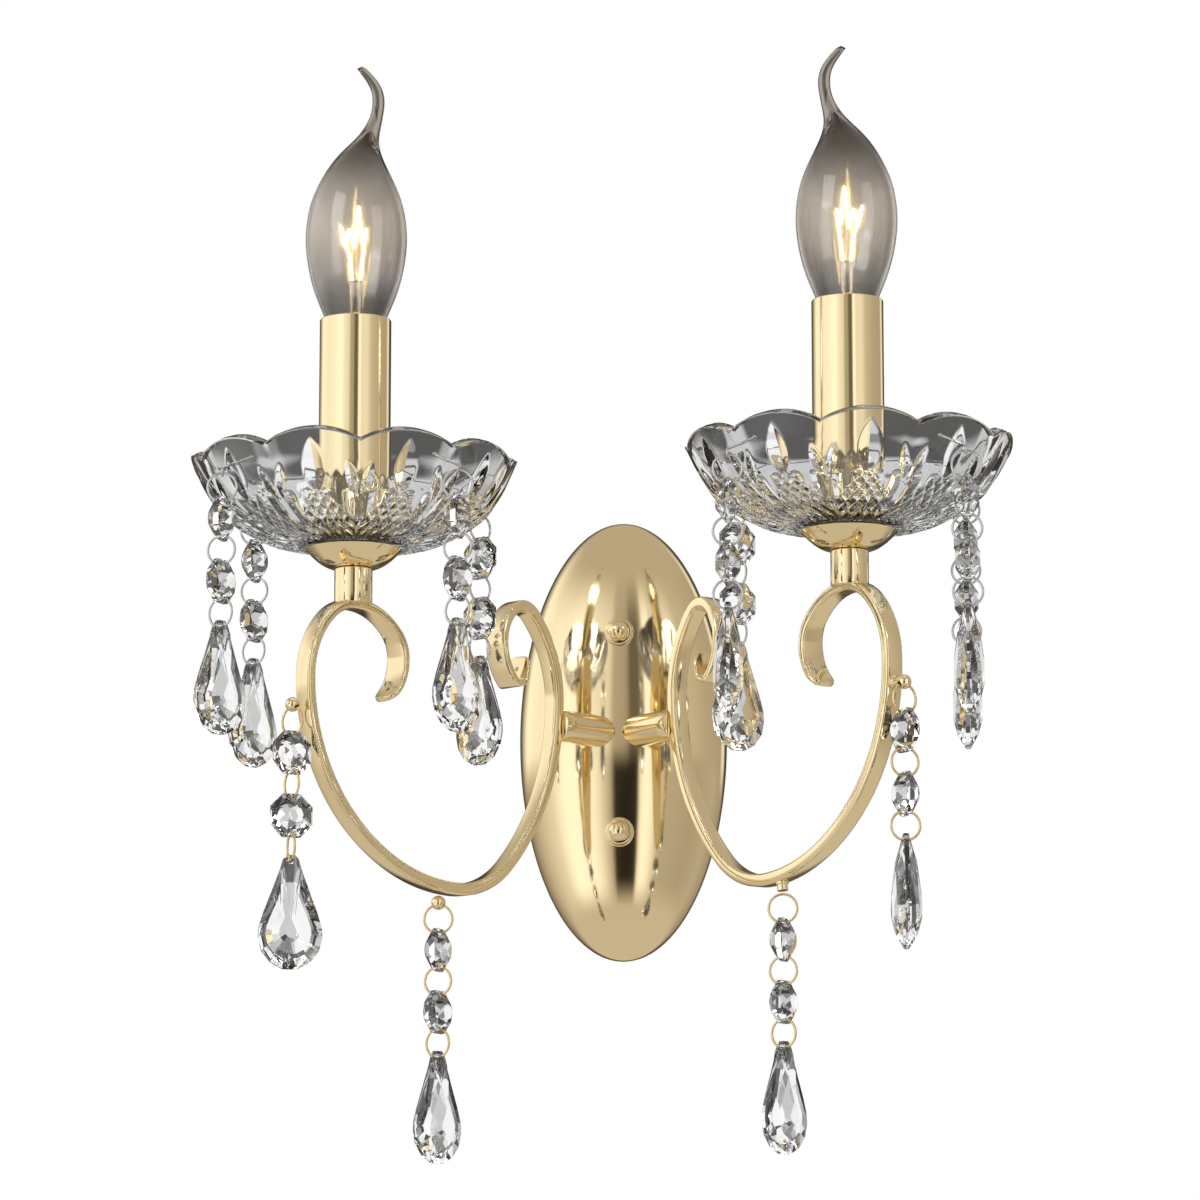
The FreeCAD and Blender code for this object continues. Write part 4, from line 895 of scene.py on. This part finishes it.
# The second colour on the next line is painted shade for the bulb glass's turning edges.
TIP_TINT, PAINTED_EDGE_SHADE = (0.40, 0.35, 0.29, 1), (0.10, 0.095, 0.09, 1)
MOUNT_TINT, NICKEL = (0.80, 0.76, 0.70, 1), (0.70, 0.67, 0.60, 1)
# The amber here, with the glass glow on the next line, is a painted halo of light in the bulb glass; the pale
# amber is the filament's own light.
NO_GLOW, AMBER, PALE_AMBER = (0, 0, 0, 1), (1.0, 0.62, 0.20, 1), (1.0, 0.82, 0.45, 1)
HAZY_SHARE, GLASS_GLOW = 0.15, 0.03
glow_height = float(max(axis[2] for axis in axes.values()) + BULB_AT + GLOW_MIDDLE) / METRE


def smoky_glass(name):
    """Thin blown glass, smoky, with its tint darker at the neck and darkest towards the tip;
    painted shade darkens its turning edges. A little haze in it spreads the filament's light,
    and a painted amber halo glows in the glass near the filament."""
    f = Finish(name)
    height = f.node("ShaderNodeSeparateXYZ", None, {0: f.place()}, output=2)

    def step(low, high, first, last):
        """A smooth change from first to last between two heights over the glow's middle."""
        inputs = {0: height, 1: glow_height + low, 2: glow_height + high, 3: first, 4: last}
        return f.node("ShaderNodeMapRange", {"interpolation_type": "SMOOTHSTEP"}, inputs)

    tint = f.blend(step(0.010, 0.032, 0.0, 1.0), CLEAR_TINT, TIP_TINT)
    tint = f.blend(step(-0.030, -0.018, 0.0, 1.0), NECK_TINT, tint)
    # Painted shade: the glass darkens towards a near-black where it turns away at its edges.
    edge = f.node("ShaderNodeLayerWeight", None, {"Blend": 0.35}, output=1)
    tint = f.blend(edge**1.5, tint, PAINTED_EDGE_SHADE)
    # Painted halo: the glass round the filament's height glows amber with its own light.
    near = step(-0.026, 0.0, 0.0, 1.0) * step(0.004, 0.026, 1.0, 0.0)
    glow = f.blend(near, NO_GLOW, AMBER)

    def skin(rough):
        """The glass at one roughness."""
        return f.principled(
            {
                "Base Color": tint,
                "Transmission Weight": 1.0,
                "IOR": 1.45,
                "Roughness": rough,
                "Emission Color": glow,
                "Emission Strength": GLASS_GLOW,
            }
        )

    marks = f.noise(120.0, 3.0)
    clear, hazy = skin(f.between(marks, 0.0, 0.015)), skin(f.between(marks, 0.30, 0.34))
    return f.done(f.node("ShaderNodeMixShader", None, {0: HAZY_SHARE, 1: clear, 2: hazy}))


def glowing(name, colour, strength):
    """Hot wire: its own light, a little uneven along it."""
    f = Finish(name)
    uneven = f.noise(300.0, 2.0)
    return f.made_of(
        {
            "Base Color": (0.9, 0.6, 0.3, 1),
            "Roughness": 0.5,
            "Emission Color": f.blend(uneven, colour, PALE_AMBER),
            "Emission Strength": strength,
        }
    )


bulb_glass = smoky_glass("bulb glass")
mount_glass = clear_glass("mount glass", MOUNT_TINT, 1.5, 0.01)
hot_wire = glowing("filament", (1.0, 0.62, 0.22, 1), 60.0)
nickel = bright_wire("nickel", NICKEL)


def smooth(stations, count):
    """Points on a smooth curve through stations: a natural cubic spline in each coordinate."""
    x, y = stations[:, 0], stations[:, 1:]
    n = len(x)
    h = np.diff(x)
    system = np.eye(n)
    right = np.zeros((n, y.shape[1]))
    i = np.arange(1, n - 1)
    system[i, i - 1], system[i, i], system[i, i + 1] = h[:-1], 2 * (h[:-1] + h[1:]), h[1:]
    right[i] = 6 * ((y[2:] - y[1:-1]) / h[1:, None] - (y[1:-1] - y[:-2]) / h[:-1, None])
    m = np.linalg.solve(system, right)
    q = np.linspace(x[0], x[-1], count)
    k = np.clip(np.searchsorted(x, q, side="right") - 1, 0, n - 2)
    a, b, hk = (x[k + 1] - q)[:, None], (q - x[k])[:, None], h[k][:, None]
    value = (m[k] * a**3 + m[k + 1] * b**3) / (6 * hk)
    value += (y[k] / hk - m[k] * hk / 6) * a + (y[k + 1] / hk - m[k + 1] * hk / 6) * b
    return np.c_[q, value]


def blown(lean, wall, upto):
    """Circles that change in radius as they rise, with their middles moved aside by the bend. A
    wall thicker than nothing gives the inner skin, which closes where the neck draws in."""
    stations = smooth(BULB, BULB_ROWS)
    stations = stations[stations[:, 0] <= upto]
    height, radius, bend = stations.T[:, None]
    t = once_round(BULB_ROUND)[:, None]
    gathered = GATHER * np.clip((height - GATHER_FROM) / GATHER_OVER, 0, 1) ** 2 if wall > 0 else 0
    r = np.maximum(radius - wall - gathered, 0.05)
    shell = np.stack([lean * bend + r * np.cos(t), r * np.sin(t), height + 0 * t], 2)
    foot, tip = (np.repeat(end.mean(0, keepdims=True), len(t), 0) for end in (shell[:, :1], shell[:, -1:]))
    return np.concatenate([foot, shell, tip + UP * (HOLLOW_TIP if wall > 0 else TIP)], 1)


def bulb(base, lean):
    """The glass as an outer and an inner skin."""
    outside, hollow = blown(lean, 0.0, BULB[-1, 0]), blown(lean, BULB_WALL, HOLLOW_TOP)
    return [(outside + base, True, False), (hollow + base + UP * HOLLOW_FOOT, True, False, True)]


def filament(head, lean):
    """Straight runs of wire from point to point of the path, with a ball at each bend."""
    spots = [head + [lean * x, 0, z] for x, z in FILAMENT]
    runs = zip(spots, spots[1:])
    return [grid for a, b in runs for grid in (rod(a, b, HOT_WIRE, 0, 12), ball(b, HOT_WIRE, 12))]


mount_profile = [(0, -7, 0), (6.2, -7, 0.3), (6.2, -0.2, 0.3), (3.0, -0.2, 0.5)]
mount_profile += [(3.0, 4, 2), (2.4, 9, 2), (2.4, MOUNT_TOP, 0.8), (0, MOUNT_TOP, 0)]
mount_profile = rounded(mount_profile)
for word, axis in axes.items():
    lean = 1 if word == "left" else -1
    glass = surface(word + "_bulb", bulb(axis + UP * (BULB_AT + BULB_LIFT), lean), bulb_glass, 60.0)
    mount = surface(word + "_mount", [turned(mount_profile, axis + UP * BULB_AT)], mount_glass)
    wire = surface(word + "_glow", filament(axis + UP * (BULB_AT + MOUNT_TOP), lean), hot_wire)
    for piece, node, slot in (
        (glass, "_bulb_glass", "bulb_glass"),
        (mount, "_bulb_mount", "bulb_glass"),
        (wire, "_filament", "filament"),
    ):
        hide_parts(word + node)
        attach(piece, word + "_bulb")
    dress(nickel, word + "_bulb_cap")

# Studio: a pale floor far below, which only the camera and plain light see, a white world for
# the camera, walls of light and dark for metal, windows and dark parts for glass, two soft
# lamps, and the camera where the photograph was taken from.
FLOOR_SIZE, FLOOR_AT = 3000, -420
PALE, WHITE = (0.86, 0.86, 0.85, 1), (1, 1, 1, 1)
FLOOR_WHITE = 0.75
WALL_LIGHT, WALL_TINT, PLAIN_LIGHT = 1.3, (1.0, 0.86, 0.66, 1), 0.55
# Levels in the room are the sine of a ray's rise; a pair of them is where a change starts and ends.
LOW_LEVEL, FLOOR_LEVEL, CEILING_LEVEL = (0.11, 0.02), (-0.42, -0.65), (0.45, 0.8)
FLOOR_DARK, CEILING_DARK = 0.50, 0.42
SHELF_FOOT, SHELF_TOP, SHELF_DARK = (0.165, 0.19), (0.222, 0.242), 0.68
WINDOW_MIDDLE, WINDOW_EDGE, WINDOW_DARK = 0.12, (0.26, 0.40), 0.1
UNDER_SHELF, UNDER_SHELF_FOOT, UNDER_SHELF_LIGHT = (0.195, 0.165), (-0.2, -0.1), 0.62
HIGH_WINDOW, LOW_WINDOW, LOW_WINDOW_LIGHT = (0.62, 0.72), (-0.75, -0.85), 0.4

flat_corners = [[[x, y, FLOOR_AT] for y in (-FLOOR_SIZE, FLOOR_SIZE)] for x in (-FLOOR_SIZE, FLOOR_SIZE)]
floor = surface("floor", [(np.array(flat_corners, float), False, False)], plastic)
f = Finish("floor")
light = f.node("ShaderNodeLightPath", output="Is Camera Ray")
mirrored = light.also("Is Glossy Ray").math("MAXIMUM", light.also("Is Transmission Ray"))
unseen = mirrored.math("MAXIMUM", f.node("ShaderNodeNewGeometry", output="Backfacing"))
white = f.node("ShaderNodeEmission", None, {"Color": WHITE, "Strength": 1.0})
pale = f.node("ShaderNodeBsdfDiffuse", None, {"Color": PALE})
mixed = f.node("ShaderNodeMixShader", None, {0: light * FLOOR_WHITE, 1: pale, 2: white})
opening = f.node("ShaderNodeBsdfTransparent")
floor.data.materials[0] = f.done(f.node("ShaderNodeMixShader", None, {0: unseen, 1: mixed, 2: opening}))

world = bpy.data.worlds.new("studio")
bpy.context.scene.world = world
world.use_nodes = True


class Room(Finish):
    """The world's nodes, made the same way as a finish."""

    def __init__(self, tree):
        self.tree = tree
        self.tree.nodes.clear()

    def done(self, shader):
        """Send a shader to the world."""
        out = self.tree.nodes.new("ShaderNodeOutputWorld")
        self.tree.links.new(shader.socket, out.inputs["Surface"])


room = Room(world.node_tree)
ray = room.node("ShaderNodeTexCoord", output="Generated")
x = room.node("ShaderNodeSeparateXYZ", None, {0: ray})
y, z = x.also("Y"), x.also("Z")
turn = x.math("ARCTAN2", y) * (0.5 / math.pi) + 0.5


def round_the_room(stops):
    """Brightness against the heading: 0 and 1 lie behind the camera, a half behind the object."""
    colours = [(place, (value, value, value, 1)) for place, value in stops]
    return room.node("ShaderNodeValToRGB", {"stops": colours}, {0: turn})


def ease(value, low, high, first=0.0, last=1.0):
    """A smooth change from first to last as a value goes from low to high."""
    inputs = {0: value, 1: low, 2: high, 3: first, 4: last}
    return room.node("ShaderNodeMapRange", {"interpolation_type": "SMOOTHSTEP"}, inputs)


level_walls = round_the_room(
    [
        (0, 0.36), (0.022, 0.38), (0.035, 0.7), (0.085, 0.85), (0.100, 1.0), (0.135, 1.0),
        (0.17, 0.92), (0.25, 0.85), (0.33, 0.95), (0.37, 0.5), (0.41, 0.12), (0.455, 0.04),
        (0.5, 0.1), (0.545, 0.04), (0.585, 0.1), (0.605, 0.75), (0.625, 0.75), (0.645, 0.36),
        (0.75, 0.40), (0.83, 0.5), (0.87, 0.75), (0.925, 0.75), (0.934, 1.0), (0.949, 1.0),
        (0.955, 0.36), (0.964, 0.12), (0.984, 0.12), (0.994, 0.34),
    ]
)
low_walls = round_the_room(
    [
        (0, 0.02), (0.02, 0.03), (0.03, 0.4), (0.06, 0.8), (0.09, 1.0), (0.15, 1.0), (0.20, 0.7),
        (0.30, 0.45), (0.40, 0.2), (0.455, 0.04), (0.5, 0.1), (0.545, 0.04), (0.60, 0.3),
        (0.70, 0.42), (0.80, 0.36), (0.90, 0.42), (0.93, 0.85), (0.95, 1.0), (0.962, 0.8),
        (0.968, 0.02),
    ]
)
walls = level_walls + (low_walls - level_walls) * ease(z, *LOW_LEVEL)
walls = walls + (FLOOR_DARK - walls) * ease(z, *FLOOR_LEVEL)
walls = walls + (CEILING_DARK - walls) * ease(z, *CEILING_LEVEL)
behind = round_the_room(
    [
        (0, 0.4), (0.06, 0.1), (0.16, 0.03), (0.20, 1.0), (0.30, 1.0), (0.33, 0.08), (0.375, 0.12),
        (0.40, 1.0), (0.455, 1.0), (0.478, 0.26), (0.522, 0.26), (0.545, 1.0), (0.60, 1.0),
        (0.625, 0.12), (0.67, 0.08), (0.70, 1.0), (0.80, 1.0), (0.84, 0.05), (0.94, 0.15),
    ]
)
straight = round_the_room([(0, 0), (0.44, 0), (0.47, 1.0), (0.53, 1.0), (0.56, 0)])
shelf = straight * ease(z, *SHELF_FOOT) * ease(z, *SHELF_TOP, 1.0, 0.0)
off_middle = (z - WINDOW_MIDDLE).math("ABSOLUTE")
window = behind * ease(off_middle, *WINDOW_EDGE, 1.0, WINDOW_DARK) * (1.0 - shelf * SHELF_DARK)
under_shelf = straight * ease(z, *UNDER_SHELF, 0.0, UNDER_SHELF_LIGHT) * ease(z, *UNDER_SHELF_FOOT)
window = window.math("MAXIMUM", under_shelf)
window = window.math("MAXIMUM", ease(z, *HIGH_WINDOW))
window = window.math("MAXIMUM", ease(z, *LOW_WINDOW, 0.0, LOW_WINDOW_LIGHT))
camera_ray = room.node("ShaderNodeLightPath", output="Is Camera Ray")
glossy_ray, through_ray = camera_ray.also("Is Glossy Ray"), camera_ray.also("Is Transmission Ray")
plain_ray = 1.0 - camera_ray.math("MAXIMUM", glossy_ray.math("MAXIMUM", through_ray))
mirror_ray = glossy_ray * (1.0 - through_ray)
strength = camera_ray + mirror_ray * walls * WALL_LIGHT + through_ray * window + plain_ray * PLAIN_LIGHT
warm = walls.math("MAXIMUM", 1.0 - mirror_ray)
colour = room.blend(warm, WALL_TINT, WHITE)
room.done(room.node("ShaderNodeBackground", None, {"Color": colour, "Strength": strength}))

LAMPS_AIM = np.array([0, -0.1, 0])


def facing(side, up, way, place):
    """The placing that looks along a way from a place, as lamps and cameras do."""
    return Matrix([[side[k], up[k], -way[k], place[k]] for k in range(3)] + [[0, 0, 0, 1]])


def soft_box(name, place, size, power):
    """A large soft lamp that looks at the object's middle, in metres."""
    lamp = bpy.data.lights.new(name, "AREA")
    lamp.shape, lamp.size, lamp.size_y, lamp.energy = "RECTANGLE", size[0], size[1], power
    made = linked(name, lamp)
    way = LAMPS_AIM - np.array(place)
    way = way / np.linalg.norm(way)
    side = np.cross(way, UP)
    side /= np.linalg.norm(side)
    made.matrix_world = facing(side, np.cross(side, way), way, place)
    made.visible_glossy = False


soft_box("key", (-1.1, -1.3, 1.0), (0.9, 0.9), 16.0)
soft_box("fill", (1.3, -1.0, 0.5), (0.7, 1.1), 9.0)

FOCUS, STAND = np.array([0, -60.0, 0]), 1700.0
VIEW_TURN, VIEW_RAISE = 3.8, 8.5
AIM_TURN, AIM_RAISE = VIEW_TURN + 0.15, VIEW_RAISE + 1.381
LENS_PIXELS, PHOTO_PIXELS, SENSOR = 4855.5, 1200, 36.0
NEAREST, FARTHEST = 0.05, 20.0


def toward(turn, rise):
    """The direction to the wall, turned to the left and raised by angles in degrees."""
    a, e = math.radians(turn), math.radians(rise)
    return np.array([-math.sin(a) * math.cos(e), math.cos(a) * math.cos(e), math.sin(e)])


eye = FOCUS - toward(VIEW_TURN, VIEW_RAISE) * STAND
way = toward(AIM_TURN, AIM_RAISE)
side = np.array([math.cos(math.radians(AIM_TURN)), math.sin(math.radians(AIM_TURN)), 0])
camera = bpy.data.cameras.new("camera")
camera.lens, camera.sensor_width = LENS_PIXELS / PHOTO_PIXELS * SENSOR, SENSOR
camera.sensor_fit = "HORIZONTAL"
camera.clip_start, camera.clip_end = NEAREST, FARTHEST
holder = linked("camera", camera)
holder.matrix_world = facing(side, np.cross(side, way), way, eye / METRE)
bpy.context.scene.camera = holder
bpy.context.scene.view_settings.view_transform = "Standard"
